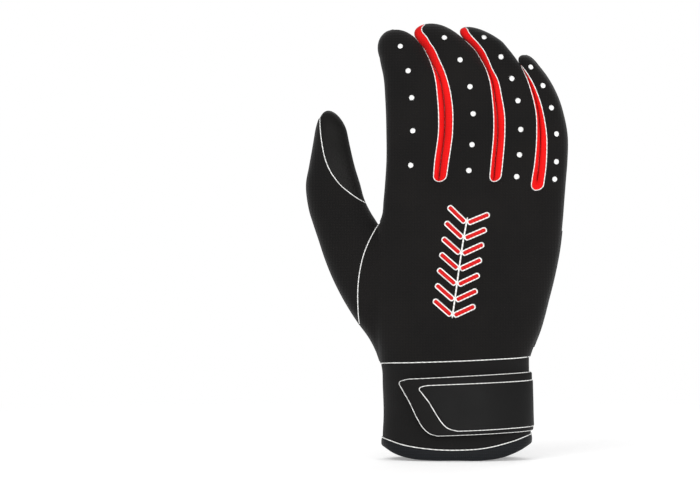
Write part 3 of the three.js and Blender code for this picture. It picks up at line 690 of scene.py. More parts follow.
def stripPart(strip, z, side, onRight):
    # Width of a strip on one of its two fingers: a quarter ellipse over its lower end and another
    # one over its top.
    longer = int(onRight == (side == back))
    width = smoothCurve(strips["longer" if longer else "shorter"][strip], z)
    if side == palm:
        width = width * strips["palmWidth"]
    low = (z - strips["bottom"][side][strip]) / strips["lowerEnd"]
    high = (stripTop(strip, side, onRight) - z) / strips["closing"][strip][longer]
    return width * quarter(low) * quarter(high)


palmLine = {"left": -16.0, "right": -33.7, "from": 40.0, "bend": 120.0}  # mm


def leftOfHand(z, side):
    # Left edge of the hand's sheet: the thumb's outer side, the thumb's base seam (an unseen line in
    # the palm), and above the web the index finger's own side.
    if side == back:
        seam = smoothCurve(seams["thumbBase"], z)
        low = np.where(z < seams["thumbBase"][0][0], thumbSides(z)[0], seam)
    else:
        left, right, bend = palmLine["left"], palmLine["right"], palmLine["bend"]
        low = left + (right - left) * ease(z, palmLine["from"], webTop)
        low = np.where(z > bend, low + (right - low) * ease(z, bend, webTop), low)
    return np.where(z <= webTop, low, fingerSides(0, z)[0])


def fingerColumns(number, z, side):
    # Edges of a finger's part of the sheet and the angles of its two seams, for each row.
    left, right, _ = fingerSides(number, z)
    if number == 0:
        left = leftOfHand(z, side)
    half = np.maximum((right - left) / 2, 1e-9)
    seamLeft = stripPart(number - 1, z, side, True) if number > 0 else 0 * z
    seamRight = stripPart(number, z, side, False) if number < 3 else 0 * z
    most = panel["stripShare"] * half
    angleLeft, angleRight = (
        np.arccos(np.clip(1 - np.minimum(seam, most) / half, -1, 1)) for seam in (seamLeft, seamRight))
    return left, right, angleLeft, np.pi - angleRight


def acrossFrom(left, right, angle):
    # x = middle - half cos(angle): close together at both edges.
    return (left + right) / 2 - (right - left) / 2 * np.cos(angle)


def sheetPart(rows, left, right, low, high, count):
    # Grid of x and z: even steps of the angle from low to high in each row
    steps = np.linspace(0, 1, count)[None, :]
    angle = low[:, None] + (high - low)[:, None] * steps
    x = acrossFrom(left[:, None], right[:, None], angle)
    return x, np.repeat(rows[:, None], count, 1)


def addSheet(shell, x, z, side, holes=()):
    # Adds a part of the skin. Each hole takes out the quads around it and puts in three rings of
    # points from the square left to the circle.
    x, z = settleRows(x, z, side)
    rows, columns = x.shape
    faces = gridFaces(rows, columns)
    keep = np.ones(len(faces), bool)
    extraPoints, extraFaces, count = [], [], rows * columns
    for holeX, holeZ in holes:
        reach = vents["radius"] + vents["room"]
        r0 = max(0, np.searchsorted(z[:, 0], holeZ - reach) - 1)
        r1 = min(rows - 1, np.searchsorted(z[:, 0], holeZ + reach))
        middleRow = np.argmin(np.abs(z[:, 0] - holeZ))
        c0 = max(0, np.searchsorted(x[middleRow], holeX - reach) - 1)
        c1 = min(columns - 1, np.searchsorted(x[middleRow], holeX + reach))
        cell = (np.arange(r0, r1)[:, None] * (columns - 1) + np.arange(c0, c1)[None, :]).ravel()
        keep[cell] = False
        loop = np.concatenate([
            r0 * columns + np.arange(c0, c1),
            np.arange(r0, r1) * columns + c1,
            r1 * columns + np.arange(c1, c0, -1),
            np.arange(r1, r0, -1) * columns + c0,
        ])
        edge = np.stack([x.ravel()[loop], z.ravel()[loop]], -1)
        centre = np.array([holeX, holeZ])
        away = edge - centre
        circle = centre + away / np.linalg.norm(away, axis=1, keepdims=True) * vents["radius"]
        size = len(loop)
        ahead = (np.arange(size) + 1) % size
        previous = loop
        for t in vents["rings"]:
            ring = edge + (circle - edge) * t
            extraPoints.append(ring)
            current = count + np.arange(size)
            count += size
            extraFaces.append(np.stack([previous, previous[ahead], current[ahead], current], -1))
            previous = current
    points = np.stack([x.ravel(), z.ravel()], -1)
    if extraPoints:
        points = np.concatenate([points] + extraPoints)
        faces = np.concatenate([faces[keep]] + extraFaces)
    if side == palm:
        faces = faces[:, ::-1]
    shell.add(skin(points[:, 0], points[:, 1], side), faces)


def ventPlaces(number, side):
    # (x, z) of the holes, in the middle between the two seams of a finger
    places = []
    for share in vents["back" if side == back else "palm"][number]:
        z = np.array([share * hand["length"]])
        left, right, low, high = fingerColumns(number, z, side)
        middle = (acrossFrom(left, right, low) + acrossFrom(left, right, high)) / 2
        places.append((float(middle[0]), float(z[0])))
    return places


backShell, palmShell = Shell(), Shell()
redShells = [Shell(), Shell(), Shell()]
seamPaths = {}

for number in range(4):
    rows = fingerRows(number)
    for side in (back, palm):
        left, right, low, high = fingerColumns(number, rows, side)
        x, z = sheetPart(rows, left, right, low, high, panel["columns"])
        addSheet(backShell if side == back else palmShell, x, z, side, ventPlaces(number, side))
        for strip, onLeft in ((number - 1, True), (number, False)):
            if not 0 <= strip <= 2:
                continue
            part = (rows >= strips["bottom"][side][strip] - 1e-6) & (rows <= stripTop(strip, side, onLeft))
            zero, full = np.zeros(part.sum()), np.full(part.sum(), np.pi)
            edges = (zero, low[part]) if onLeft else (high[part], full)
            x, z = sheetPart(rows[part], left[part], right[part], *edges, panel["stripColumns"])
            addSheet(redShells[strip], x, z, side)
            seamX = x[:, -1] if onLeft else x[:, 0]
            seamPaths[(strip, side, onLeft)] = skin(seamX, rows[part], side)

# Thumb: the palm's leather covers its front and its inner side, the back has a panel of its own
overWeb, underDome = thumb["rowGaps"]
thumbRise = np.sin(np.linspace(0, np.pi / 2, thumb["domeRows"]))
thumbRows = np.concatenate([
    commonRows[commonRows <= webTop],
    np.arange(webTop + overWeb, thumb["domeFrom"] - underDome, thumb["rowStep"]),
    thumb["domeFrom"] + (thumb["tip"][1] - thumb["domeFrom"]) * thumbRise,
])


def thumbAngle(x, z):
    # Angle round the thumb at x, as acrossFrom counts it
    left, right, _ = thumbSides(z)
    half = np.maximum((right - left) / 2, 1e-9)
    return np.arccos(np.clip(((left + right) / 2 - x) / half, -1, 1))


thumbLeft, thumbRight, _ = thumbSides(thumbRows)
inner = np.where(thumbRows <= webTop, thumbAngle(leftOfHand(thumbRows, palm), thumbRows), np.pi)
x, z = sheetPart(thumbRows, thumbLeft, thumbRight, 0 * thumbRows, inner, panel["thumbColumns"])
addSheet(palmShell, x, z, palm)

baseFrom, lensFrom, lensTo = seams["thumbBase"][0][0], seams["thumbLens"][0][0], seams["thumbLens"][-1][0]
baseAngle = thumbAngle(smoothCurve(seams["thumbBase"], thumbRows), thumbRows)
lensAngle = thumbAngle(smoothCurve(seams["thumbLens"], thumbRows), thumbRows)
onBack = np.where(thumbRows <= webTop, baseAngle, np.where(thumbRows <= lensFrom, np.pi, lensAngle))
onBack = onBack * ease(-thumbRows, -lensTo, -lensTo + thumb["lensClosing"])
baseStart, lensStart = (low - over for low, over in zip((baseFrom, lensFrom), thumb["seamOverlap"]))
thumbShell = Shell()
for shell, low, high, start, end, columns in (
    (thumbShell, baseStart, lensTo, 0 * onBack, onBack, panel["thumbBackColumns"]),
    (palmShell, lensStart, np.inf, onBack, 0 * onBack + np.pi, panel["thumbLensColumns"]),
):
    part = (thumbRows >= low) & (thumbRows <= high)
    sides = thumbLeft[part], thumbRight[part]
    x, z = sheetPart(thumbRows[part], *sides, start[part], end[part], columns)
    addSheet(shell, x, z, back)

panelPieces = [
    ("palm_leather", palmShell, "palm_panel", goatskin, "palm_leather"),
    ("back_fabric", backShell, "back_panel", backKnit, "back_fabric"),
    ("thumb_back", thumbShell, "thumb_back_panel", backKnit, "back_fabric"),
]
for name, shell in zip(("index_middle", "middle_ring", "ring_little"), redShells):
    panelPieces.append(("side_strip_" + name, shell, "fourchette_" + name, redKnit, "red_stretch"))
for name, shell, node, material, slot in panelPieces:
    makePiece(name, shell, "glove", [node], material, panel["wall"])
print("panels ready")

# Knitted liners, seen in the vent holes

liner = {
    "inset": 0.62,  # mm under the skin
    "wall": 0.5,
    "from": 146.0,  # mm above the ground
    "shorter": (0.9, 12.0),  # how much the end is drawn down, and over how much of its length, in mm
    "around": 40,  # points
    "fingers": ("index", "middle", "ring", "little"),
}


def linerGrid(number):
    # Closed tube inside a finger: the finger's section drawn in on every side by the inset.
    rows = fingerRows(number)
    rows = rows[rows > liner["from"]][::2]
    left, right, shrink = fingerSides(number, rows)
    half = np.maximum((right - left) / 2 - liner["inset"], 0.02)
    depth = np.maximum(hand["fingerDepth"][number] / 2 * shrink - liner["inset"], 0.02)
    angle = evenAngles(liner["around"])[None, :]
    power = 2 / hand["fingerPower"]
    x = ((left + right) / 2)[:, None] - half[:, None] * keepSign(np.cos(angle), power)
    drawn, over = liner["shorter"]
    z = rows - drawn * ease(rows, rows[-1] - over, rows[-1])
    z = np.repeat(z[:, None], liner["around"], 1)
    y = middleSurface(x, z) + depth[:, None] * keepSign(np.sin(angle), power)
    return np.stack([x, y, z], -1)


for number, name in enumerate(liner["fingers"]):
    makePiece(
        "finger_liner_" + name, tube(linerGrid(number)), "glove", ["liner_" + name], whiteKnit,
        liner["wall"])
print("liners ready")

# Cuff

cuff = {
    "wall": 2.6,  # mm
    "around": 144,  # points round the cuff and up it
    "rows": 34,
    "seamLevel": 50.0,  # mm, heights at which seam and hem read their x
    "hemLevel": 6.0,
    "underHem": 2.0,  # mm, how far the neoprene reaches into the binding
    "overSeam": 1.5,  # mm, how far it reaches under the panels
    "topTuck": (1.0, -0.6, 1.2),  # mm, how deep the edge is tucked in, and from where to where
    "lowTuck": (0.9, 1.0, 2.4),
    "crease": (0.22, 5.2, 1.3),  # mm, depth and length of the soft waves, and their sway
    "creaseFrom": (10.0, 20.0),  # mm, heights between which they begin and end
    "creaseTo": (44.0, 52.0),
    "hemThickness": 4.2,
    "hemBulge": 0.7,  # mm outside the neoprene
    "hemPower": 3.2,
    "hemTurn": 25,  # points round the binding
    # (height, x) of the two sides
    "left": [(-14.0, -32.0), (0.0, -32.0), (12.0, -31.6), (25.0, -31.3), (40.0, -31.3), (50.0, -31.9),
             (56.0, -33.0), (66.0, -34.0)],
    "right": [(-14.0, 52.0), (0.0, 52.2), (12.0, 52.2), (25.0, 51.8), (40.0, 51.4), (50.0, 51.2),
              (58.0, 51.3), (66.0, 53.0)],
    # (x, height) of the binding's two edges
    "hemTop": [(-45.0, 12.6), (-33.0, 12.2), (-20.0, 8.6), (-5.0, 6.4), (10.0, 5.9), (25.0, 6.9),
               (40.0, 10.4), (53.0, 14.4), (60.0, 15.0)],
    "hemBottom": [(-45.0, 8.0), (-33.0, 7.6), (-25.0, 3.4), (-14.0, 0.6), (-5.0, 0.0), (10.0, 0.0),
                  (26.0, 0.0), (36.0, 1.4), (46.0, 5.0), (53.0, 8.6), (60.0, 9.0)],
}
cuffPower = hand["trunkPower"]


def cuffSides(z):
    # x of the cuff's two sides at height z
    return smoothCurve(cuff["left"], z), smoothCurve(cuff["right"], z)


def acrossCuff(angle, level):
    # x at an angle round the cuff, on the section at one level: middle - half sign(c) |c|^(2/n)
    low, high = cuffSides(np.array([level]))
    return (low + high) / 2 - (high - low) / 2 * keepSign(np.cos(angle), 2 / cuffPower)


def cuffRing(angle, z, outset=0.0):
    # Point on the cuff: superellipse section, x = middle - half sign(c) |c|^(2/n) and
    # y = depth sign(s) |s|^(2/n), grown by the outset
    left, right = cuffSides(z)
    depth = smoothCurve(trunkDepth, z / hand["length"], 1) * hand["depth"] + outset
    half = (right - left) / 2 + outset
    x = (left + right) / 2 - half * keepSign(np.cos(angle), 2 / cuffPower)
    y = depth * keepSign(np.sin(angle), 2 / cuffPower) + middleSurface(x, z)
    return np.stack([x, y, z], -1)


def seamHeight(angle, x, backTable, palmTable):
    # Height of a line round the cuff, from one table on the back and another one on the palm
    return np.where(np.sin(angle) < 0, smoothCurve(backTable, x), smoothCurve(palmTable, x))


def cuffGrid():
    # Even rows from inside the binding to under the panels. Both ends are tucked in, and between
    # them run shallow waves, depth sin(z / length + sway sin 2a).
    angle = evenAngles(cuff["around"])[None, :]
    x = acrossCuff(angle, cuff["seamLevel"])
    seam = seamHeight(angle, x, seams["cuffBack"], seams["cuffPalm"])
    bottom = smoothCurve(cuff["hemTop"], x) - cuff["underHem"]
    t = np.linspace(0, 1, cuff["rows"])[:, None]
    z = bottom + (seam + cuff["overSeam"] - bottom) * t
    deep, low, high = cuff["topTuck"]
    tuck = deep * ease(z, seam + low, seam + high)
    deep, low, high = cuff["lowTuck"]
    tuck = tuck + deep * (1 - ease(z, bottom + low, bottom + high))
    depth, length, sway = cuff["crease"]
    fade = ease(z, *cuff["creaseFrom"]) * (1 - ease(z, *cuff["creaseTo"]))
    crease = depth * np.sin(z / length + sway * np.sin(angle * 2)) * fade
    return cuffRing(np.repeat(angle, cuff["rows"], 0), z, crease - tuck)


makePiece("cuff_neoprene", tube(cuffGrid()), "glove", ["cuff_band"], cuffFoam, cuff["wall"])


def hemGrid():
    # Binding round the edge: an upright superellipse section carried round the cuff
    angle = evenAngles(cuff["around"])[None, :]
    turn = np.linspace(0, 2 * np.pi, cuff["hemTurn"])[:, None]
    x = acrossCuff(angle, cuff["hemLevel"])
    top, bottom = smoothCurve(cuff["hemTop"], x), smoothCurve(cuff["hemBottom"], x)
    z = (top + bottom) / 2 + (top - bottom) / 2 * keepSign(np.sin(turn), 2 / cuff["hemPower"])
    half = cuff["hemThickness"] / 2
    outset = cuff["hemBulge"] - half + half * keepSign(np.cos(turn), 2 / cuff["hemPower"])
    return cuffRing(np.broadcast_to(angle, z.shape), z, np.broadcast_to(outset, z.shape))


makePiece("cuff_hem", tube(hemGrid()), "glove", ["cuff_hem_binding"], hemTape)
print("cuff ready")

# Closure strap

strap = {
    "thickness": 2.2,  # mm
    "rootThickness": 1.5,  # where it is sewn on
    "rootOver": 16.0,  # mm over which it reaches its full thickness
    "rootSunk": (0.95, 0.12),  # mm, how far the root's edge is sunk, and over which length
    "rounding": 1.0,  # mm, radius of the edge
    "cover": 0.9,
    "coverRounding": 0.8,
    "coverSunk": 0.12,  # into the strap
    "rootX": 52.5,
    "middleX": 10.15,  # of the cuff at the height of the strap
    "rootShare": (0.7, 0.97),  # where its root turns to the side, as shares of half the cuff
    "slant": 0.8,  # of a distance in x that is square to the slanted free end
    "coverFrom": 3.0,  # mm from the sewn end
    "length": 95.0,  # mm from the sewn end that the last column counts as
    # Two places (y in mm, after the shift) between which the root of a real strap bends when it peels off
    "bend": (2.3, -7.0),
    "bendHeight": 31.0,
    # (share of the height, x) of the free ends, and (x, height) of the long edges
    "freeEnd": [(0.0, -0.6), (0.03, -4.0), (0.08, -6.6), (0.16, -9.0), (0.3, -11.7), (0.6, -16.3),
                (0.86, -20.9), (0.93, -22.0), (0.97, -21.2), (1.0, -17.0)],
    "coverEnd": [(0.0, 10.4), (0.04, 6.6), (0.1, 3.9), (0.2, 1.6), (0.35, -1.0), (0.65, -5.6), (0.85, -9.4),
                 (0.94, -10.7), (0.98, -9.2), (1.0, -6.0)],
    "top": [(-25.0, 45.3), (52.0, 49.0), (60.0, 49.2)],
    "bottom": [(-25.0, 13.6), (-1.0, 14.2), (52.0, 16.2), (60.0, 16.4)],
    "coverTop": [(-25.0, 41.6), (52.0, 44.5), (60.0, 44.7)],
    "coverBottom": [(-25.0, 16.6), (10.0, 17.0), (52.0, 18.6), (60.0, 18.8)],
    "gap": 0.15,  # mm between cuff and strap near the root
    "tapeStack": 2.4,  # mm, height of the two tapes under the free end
    "climb": 30.0,  # mm over which the strap climbs onto them
}


def strapAngle(x, z, outset):
    # Angle round the cuff at x. Towards the sewn end it runs to exactly -180 degrees, at the side.
    left, right = cuffSides(z)
    share = ((left + right) / 2 - x) / ((right - left) / 2 + outset)
    atRoot = (strap["middleX"] - x) / (strap["rootX"] - strap["middleX"])
    share = np.clip(share + (atRoot - share) * ease(-atRoot, *strap["rootShare"]), -1, 1)
    return -np.arccos(keepSign(share, cuffPower / 2))


def strapLift(x):
    # The strap lies on the cuff at its sewn end and climbs over the tapes towards its free end. Its
    # closed root edge is sunk to the cuff.
    away = strap["rootX"] - x
    climb = strap["gap"] + (strap["tapeStack"] - strap["gap"]) * ease(away, 0.0, strap["climb"])
    sunk, over = strap["rootSunk"]
    return climb - sunk * (1 - ease(away, 0.0, over))


def strapBulk(x):
    # Thickness of the strap, pressed flat where it is sewn into the side of the cuff.
    more = strap["thickness"] - strap["rootThickness"]
    return strap["rootThickness"] + more * ease(strap["rootX"] - x, 0.0, strap["rootOver"])


def slantedGrid(end, top, bottom, placeColumns, columns, rows):
    # x, z and the distance to the outline of a grid with a slanted end, its rows close together at
    # both long edges. placeColumns gives x and the distance to the other end.
    v = 0.5 - 0.5 * np.cos(np.linspace(0, np.pi, rows))[:, None]
    slanted = smoothCurve(end, v)
    x, away = placeColumns(slanted, np.linspace(0, 1, columns)[None, :])
    low, high = smoothCurve(bottom, x), smoothCurve(top, x)
    z = low + (high - low) * v
    edge = np.minimum(np.minimum(z - low, high - z), (x - slanted) * strap["slant"])
    return x, z, np.maximum(np.minimum(edge, away), 0)


def strapGrid(end, top, bottom, columns=90, rows=30, start=0.0):
    # Even steps round the cuff from the sewn end to the slanted free end

    def roundCuff(slanted, share):
        u = start / strap["length"] + (1 - start / strap["length"]) * share
        half = strap["rootX"] - strap["middleX"]
        cosine = keepSign((strap["middleX"] - slanted) / half, cuffPower / 2)
        angle = np.pi + (np.arccos(cosine) - np.pi) * u
        x = strap["middleX"] - half * keepSign(np.cos(angle), 2 / cuffPower)
        return x, u * strap["length"] - start

    return slantedGrid(end, top, bottom, roundCuff, columns, rows)


def tapeGrid(end, top, bottom, straight, columns=40, rows=20):
    # Even steps in x from a straight upright end to the slanted one

    def evenly(slanted, share):
        x = straight + (slanted - straight) * share
        return x, straight - x

    return slantedGrid(end, top, bottom, evenly, columns, rows)


def onCuff(x, z, outset):
    # Point over the cuff's back at x and z
    return cuffRing(strapAngle(x, z, outset), z, outset)


def padOnCuff(x, z, edge, low, thickness, rounding):
    # Closed body between two skins over the cuff that meet at a rounded edge: half thickness
    # t/2 sqrt(1 - (1 - d/r)^2) at the distance d from the outline.
    half = thickness / 2 * quarter(edge / rounding)
    middle = low + thickness / 2
    return onCuff(x, z, middle + half), onCuff(x, z, middle - half)


def bendRoot(piece):
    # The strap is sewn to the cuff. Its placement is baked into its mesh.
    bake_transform(piece)


def outlineOf(grid):
    # Lower edge, free end and upper edge of a grid
    return np.concatenate([grid[0], grid[:, -1], grid[-1, ::-1]])


x, z, edge = strapGrid(strap["freeEnd"], strap["top"], strap["bottom"])
grids = padOnCuff(x, z, edge, strapLift(x), strapBulk(x), strap["rounding"])
strapOutline = outlineOf(grids[0])
bendRoot(makePiece("strap_base", pad(*grids), None, ["closure_strap"], strapRubber))

x, z, edge = strapGrid(strap["coverEnd"], strap["coverTop"], strap["coverBottom"], 80, 26, strap["coverFrom"])
bulk = strapBulk(x)
low, thickness = strapLift(x) + bulk - strap["coverSunk"], strap["cover"] * bulk / strap["thickness"]
grids = padOnCuff(x, z, edge, low, thickness, strap["coverRounding"])
coverOutline = outlineOf(grids[0])
bendRoot(makePiece("strap_cover", pad(*grids), None, ["strap_overlay"], coverRubber))

tape = {
    "thickness": 0.8,  # mm
    "rounding": 0.6,
    "loopLift": 0.2,  # mm over the cuff
    "hookSunk": 1.0,  # mm under the strap
    "hookInset": 1.7,  # mm, how much smaller the hook tape is
    "end": [(0.0, -6.2), (0.1, -8.2), (0.5, -11.6), (0.9, -16.4), (1.0, -14.6)],
    "straight": 15.5,  # mm, x of the straight end
    "top": 42.6,
    "bottom": 19.8,
}
for name, node, inset, looks, slot, body in (
    ("cuff_loop_tape", "cuff_loop_patch", 0.0, backKnit, "loop_tape", "glove"),
    ("strap_hook_tape", "strap_hook_patch", tape["hookInset"], hookNylon, "hook_tape", "strap"),
):
    end = [(share, across + inset) for share, across in tape["end"]]
    top = [(x, tape["top"] - inset) for x in (-25.0, 60.0)]
    bottom = [(x, tape["bottom"] + inset) for x in (-25.0, 60.0)]
    x, z, edge = tapeGrid(end, top, bottom, tape["straight"] - inset)
    lift = tape["loopLift"] if body == "glove" else np.maximum(strapLift(x) - tape["hookSunk"], 1.0)
    grids = padOnCuff(x, z, edge, lift, tape["thickness"], tape["rounding"])
    makePiece(name, pad(*grids), body, [node], looks)
print("strap ready")

# Grip patch on the heel of the palm

heel = {
    "thickness": 0.9,  # mm
    "sunk": 0.04,  # mm between the palm and the patch's underside
    "bottom": 62.3,
    "top": 129.3,
    "rows": 74,
    "columns": 46,
    # (height, x) of the edge on the palm
    "nose": [(62.0, 52.6), (66.0, 46.6), (76.0, 29.3), (86.0, 12.0), (90.5, 5.6), (94.0, 1.6), (98.0, -0.7),
             (101.4, -1.2), (105.0, 0.0), (109.0, 3.0), (112.0, 6.2), (118.0, 13.8), (124.0, 21.5),
             (127.0, 25.6), (128.6, 28.8), (129.4, 33.0)],
    "narrowest": 0.3,  # mm, at its lower corner
    "slant": 0.75,  # of a distance in x that is square to the slanted edge
    "pitch": (4.9, 4.2),  # mm between rings, across and up
    "places": (18, -3, 18),  # number of rows, first and last column of the pattern before it is cut
    "ringLift": 0.05,  # mm, middle of a bead over the patch
    "ring": 1.25,  # mm, radius of a ring and of its bead
    "bead": 0.3,
    "ringsFrom": 127.0,  # mm, height of the top row
    "ringsTo": 63.5,
    "margin": (2.9, 1.7),  # mm free of rings at the nose and at the side
    "points": (14, 5),  # round a ring and round its bead
    "piping": (0.25, 0.3),  # mm, height of the cord's middle over the palm, and its radius
}


def heelGrid():
    # The palm's skin from the nose-shaped edge to the side of the hand, its normals, and how far the
    # patch is lifted along them: t sqrt(1 - (1 - d)^2) at the distance d mm from the edge
    rows = np.linspace(heel["bottom"], heel["top"], heel["rows"])
    trunkLeft, right = digitLine(0, rows), digitLine(4, rows)
    left = np.minimum(smoothCurve(heel["nose"], rows), right - heel["narrowest"])
    middle, half = (trunkLeft + right) / 2, (right - trunkLeft) / 2
    start = np.arccos(np.clip((middle - left) / half, -1, 1))
    angle = start[:, None] + (np.pi - start)[:, None] * np.linspace(0, 1, heel["columns"])[None, :]
    x = middle[:, None] - half[:, None] * np.cos(angle)
    z = np.repeat(rows[:, None], heel["columns"], 1)
    base = skin(x, z, palm)
    edge = np.minimum((x - left[:, None]) * heel["slant"], np.minimum(heel["top"] - z, z - heel["bottom"]))
    edge = np.minimum(edge, (np.pi - angle) * half[:, None])
    return base, -gridNormals(base), heel["sunk"] + heel["thickness"] * quarter(edge)


base, normal, lift = heelGrid()
shell = pad(base + normal * lift[..., None], base + normal * heel["sunk"])
makePiece("heel_grip", shell, "glove", ["heel_patch"], gripRubber)
raised = base + normal * heel["piping"][0]
heelOutline = np.concatenate([raised[0, ::-1], raised[:, 0], raised[-1]])


def gripRings():
    # Small rings at the places of an offset pattern, each a torus square to the patch:
    # centre + (R + r cos b)(cos a s + sin a t) + r sin b n
    across, up = heel["pitch"]
    rowCount, first, last = heel["places"]
    row, column = np.meshgrid(np.arange(rowCount), np.arange(first, last), indexing="ij")
    z = (heel["ringsFrom"] - row * up).ravel()
    x = (column * across + (row % 2) * across / 2).ravel()
    noseMargin, sideMargin = heel["margin"]
    inside = (x > smoothCurve(heel["nose"], z) + noseMargin) & (x < digitLine(4, z) - sideMargin)
    inside &= z > heel["ringsTo"]
    x, z = x[inside], z[inside]
    step = 0.15  # mm, to either side for the slopes
    slopeX = (surface(x + step, z, palm) - surface(x - step, z, palm)) / (2 * step)
    slopeZ = (surface(x, z + step, palm) - surface(x, z - step, palm)) / (2 * step)
    normal = np.stack([-slopeX, np.ones_like(x), -slopeZ], -1)
    normal /= np.linalg.norm(normal, axis=1, keepdims=True)
    side = np.stack([np.ones_like(x), slopeX, np.zeros_like(x)], -1)
    side /= np.linalg.norm(side, axis=1, keepdims=True)
    other = np.cross(normal, side)
    centre = skin(x, z, palm) + normal * (heel["thickness"] + heel["ringLift"])
    turns, bead = heel["points"]
    a = evenAngles(turns)[None, :, None, None]
    b = evenAngles(bead)[None, None, :, None]
    outward = np.cos(a) * side[:, None, None] + np.sin(a) * other[:, None, None]
    radius = heel["ring"] + heel["bead"] * np.cos(b)
    return centre[:, None, None] + radius * outward + heel["bead"] * np.sin(b) * normal[:, None, None]


rings = gripRings()
shell = Shell()
turns, bead = heel["points"]
a, b = np.meshgrid(np.arange(turns), np.arange(bead), indexing="ij")
nextA, nextB = (a + 1) % turns, (b + 1) % bead
quads = np.stack([a * bead + b, nextA * bead + b, nextA * bead + nextB, a * bead + nextB], -1)
for ring in rings:
    shell.add(ring, quads.reshape(-1, 4))
makePiece("heel_rings", shell, "glove", [], ringRubber)
print("heel patch ready,", len(rings), "rings")

# Piping and welts

piping = {
    "step": 0.9,  # mm between points
    "stripStep": 0.7,
    "welt": 0.5,  # mm, radius of the black welts
    "strap": 0.28,  # and of the cords on the strap
    "cuffLift": 0.2,  # mm, middle of the cord over the cuff and over the binding's edge
    "hemLift": 0.45,
    "hemUp": 0.1,
    "around": 200,  # points of a cord round the cuff
    "thumbRows": 60,  # and of one on the thumb
    "outerInside": 0.1,  # mm, how far the seams stay inside the thumb's outer and inner side
    "lensInside": 0.02,
    # heights in mm of the ends of the thumb's two seams and of the three welts
    "thumbBase": (baseFrom, webTop - 0.1),
    "thumbLens": (lensFrom + 0.2, lensTo - 1.0),
    "little": (57.0, hand["tip"][3] * hand["length"] - 0.05, 150),  # also the number of points
    "index": (webTop + 0.6, hand["tip"][0] * hand["length"] - 0.05, 90),
    "thumb": (54.0, lensTo - 1.0, 110),
}


def addCord(shell, path, radius, step=piping["step"], closed=False):
    # A round cord with even points along the path
    points = cordPoints(evenPath(path, step), radius, closed=closed)
    shell.addGrid(points, flip=True, wrap=True)


white = Shell()
for strip in range(3):
    for side in (back, palm):
        # Down the seam on the left finger and up the one on the right finger
        path = np.concatenate([seamPaths[(strip, side, False)][::-1], seamPaths[(strip, side, True)]])
        addCord(white, path, seams["thread"], piping["stripStep"])

for name in ("thumbBase", "thumbLens"):
    rows = np.linspace(*piping[name], piping["thumbRows"])
    left, right, _ = thumbSides(rows)
    most = right - piping["lensInside"] if name == "thumbLens" else 0.0
    x = np.clip(smoothCurve(seams[name], rows), left + piping["outerInside"], most)
    addCord(white, skin(x, rows, back), seams["thread"])


def seamRing(backTable, palmTable, outset, up=0.0):
    # Closed line round the cuff at the height that the two tables give
    angle = evenAngles(piping["around"])
    x = acrossCuff(angle, cuff["seamLevel"])
    return cuffRing(angle, seamHeight(angle, x, backTable, palmTable) + up, outset)


for path in (
    seamRing(seams["cuffBack"], seams["cuffPalm"], piping["cuffLift"]),
    seamRing(cuff["hemTop"], cuff["hemTop"], piping["hemLift"], piping["hemUp"]),
):
    addCord(white, path, seams["thread"], closed=True)
addCord(white, heelOutline, heel["piping"][1])
makePiece("piping_white", white, "glove", [], whiteThread)

strapWhite = Shell()
addCord(strapWhite, strapOutline, piping["strap"])
addCord(strapWhite, coverOutline, piping["strap"])
bendRoot(makePiece("strap_piping", strapWhite, None, [], whiteThread))

# Black welts down the little finger's side, the index finger's side and the thumb's outer side
welt = Shell()
for name in ("little", "index", "thumb"):
    rows = np.linspace(*piping[name])
    if name == "thumb":
        x, y = thumbSides(rows)[0], thumbMiddle(rows)
    else:
        x = fingerSides(3, rows)[1] if name == "little" else fingerSides(0, rows)[0]
        y = middleSurface(x, rows)
    addCord(welt, np.stack([x, y, rows], -1), piping["welt"])
makePiece("welt_black", welt, "glove", [], blackThread)
print("seams ready")

# Motif on the back of the hand: a curved row of V stitches, like the seam of a ball

motif = {
    # (height, x) of its middle line
    "line": [(78.0, 7.4), (92.0, 9.4), (108.0, 11.6), (124.0, 14.0), (138.0, 16.6)],
    "stitches": 7,
    "ends": 4.0,  # mm from the line's ends to the first and last stitch
    "arm": 8.6,  # mm, length of a stitch, square to the line
    "rise": 5.6,  # mm, how much higher its outer end is
    "apart": 1.9,  # mm from the line
    "width": 2.6,
    "edge": 0.6,  # mm, width of the white edge
    "heights": (0.85, 0.5),  # mm, red stitch and white edge
    "cord": 0.45,  # mm, radius of the white middle line
    "cordEnds": 1.5,  # mm, how much shorter it is at both ends
    "cordRows": 50,
    "sunk": 0.1,  # mm, how deep a stitch's underside lies in the fabric
    "points": (22, 9),  # along and across a stitch
}


def strokeGrids(start, end, width, height):
    # Top and underside of a satin stitch bar between two points on the back of the hand: rounded at
    # both ends, with the section height sqrt(1 - v^2)
    start, end = np.array(start), np.array(end)
    run = end - start
    length = np.linalg.norm(run)
    run /= length
    across = np.array([-run[1], run[0]])
    u = np.linspace(-1, 1, motif["points"][0])[:, None]
    v = np.linspace(-1, 1, motif["points"][1])[None, :]
    half = length / 2 + width / 2
    at = u * half
    beyond = np.clip((np.abs(at) - length / 2) / (width / 2), 0, 1)
    wide = np.sqrt(1 - beyond**2) * width / 2
    x = (start[0] + end[0]) / 2 + run[0] * at + across[0] * wide * v
    z = (start[1] + end[1]) / 2 + run[1] * at + across[1] * wide * v
    top = height * np.sqrt(np.maximum(0, 1 - v**2)) * np.sqrt(1 - beyond**2)
    y = surface(x, z, back) + motif["sunk"]
    return np.stack([x, y - top, z], -1), np.stack([x, y + 0 * top, z], -1)


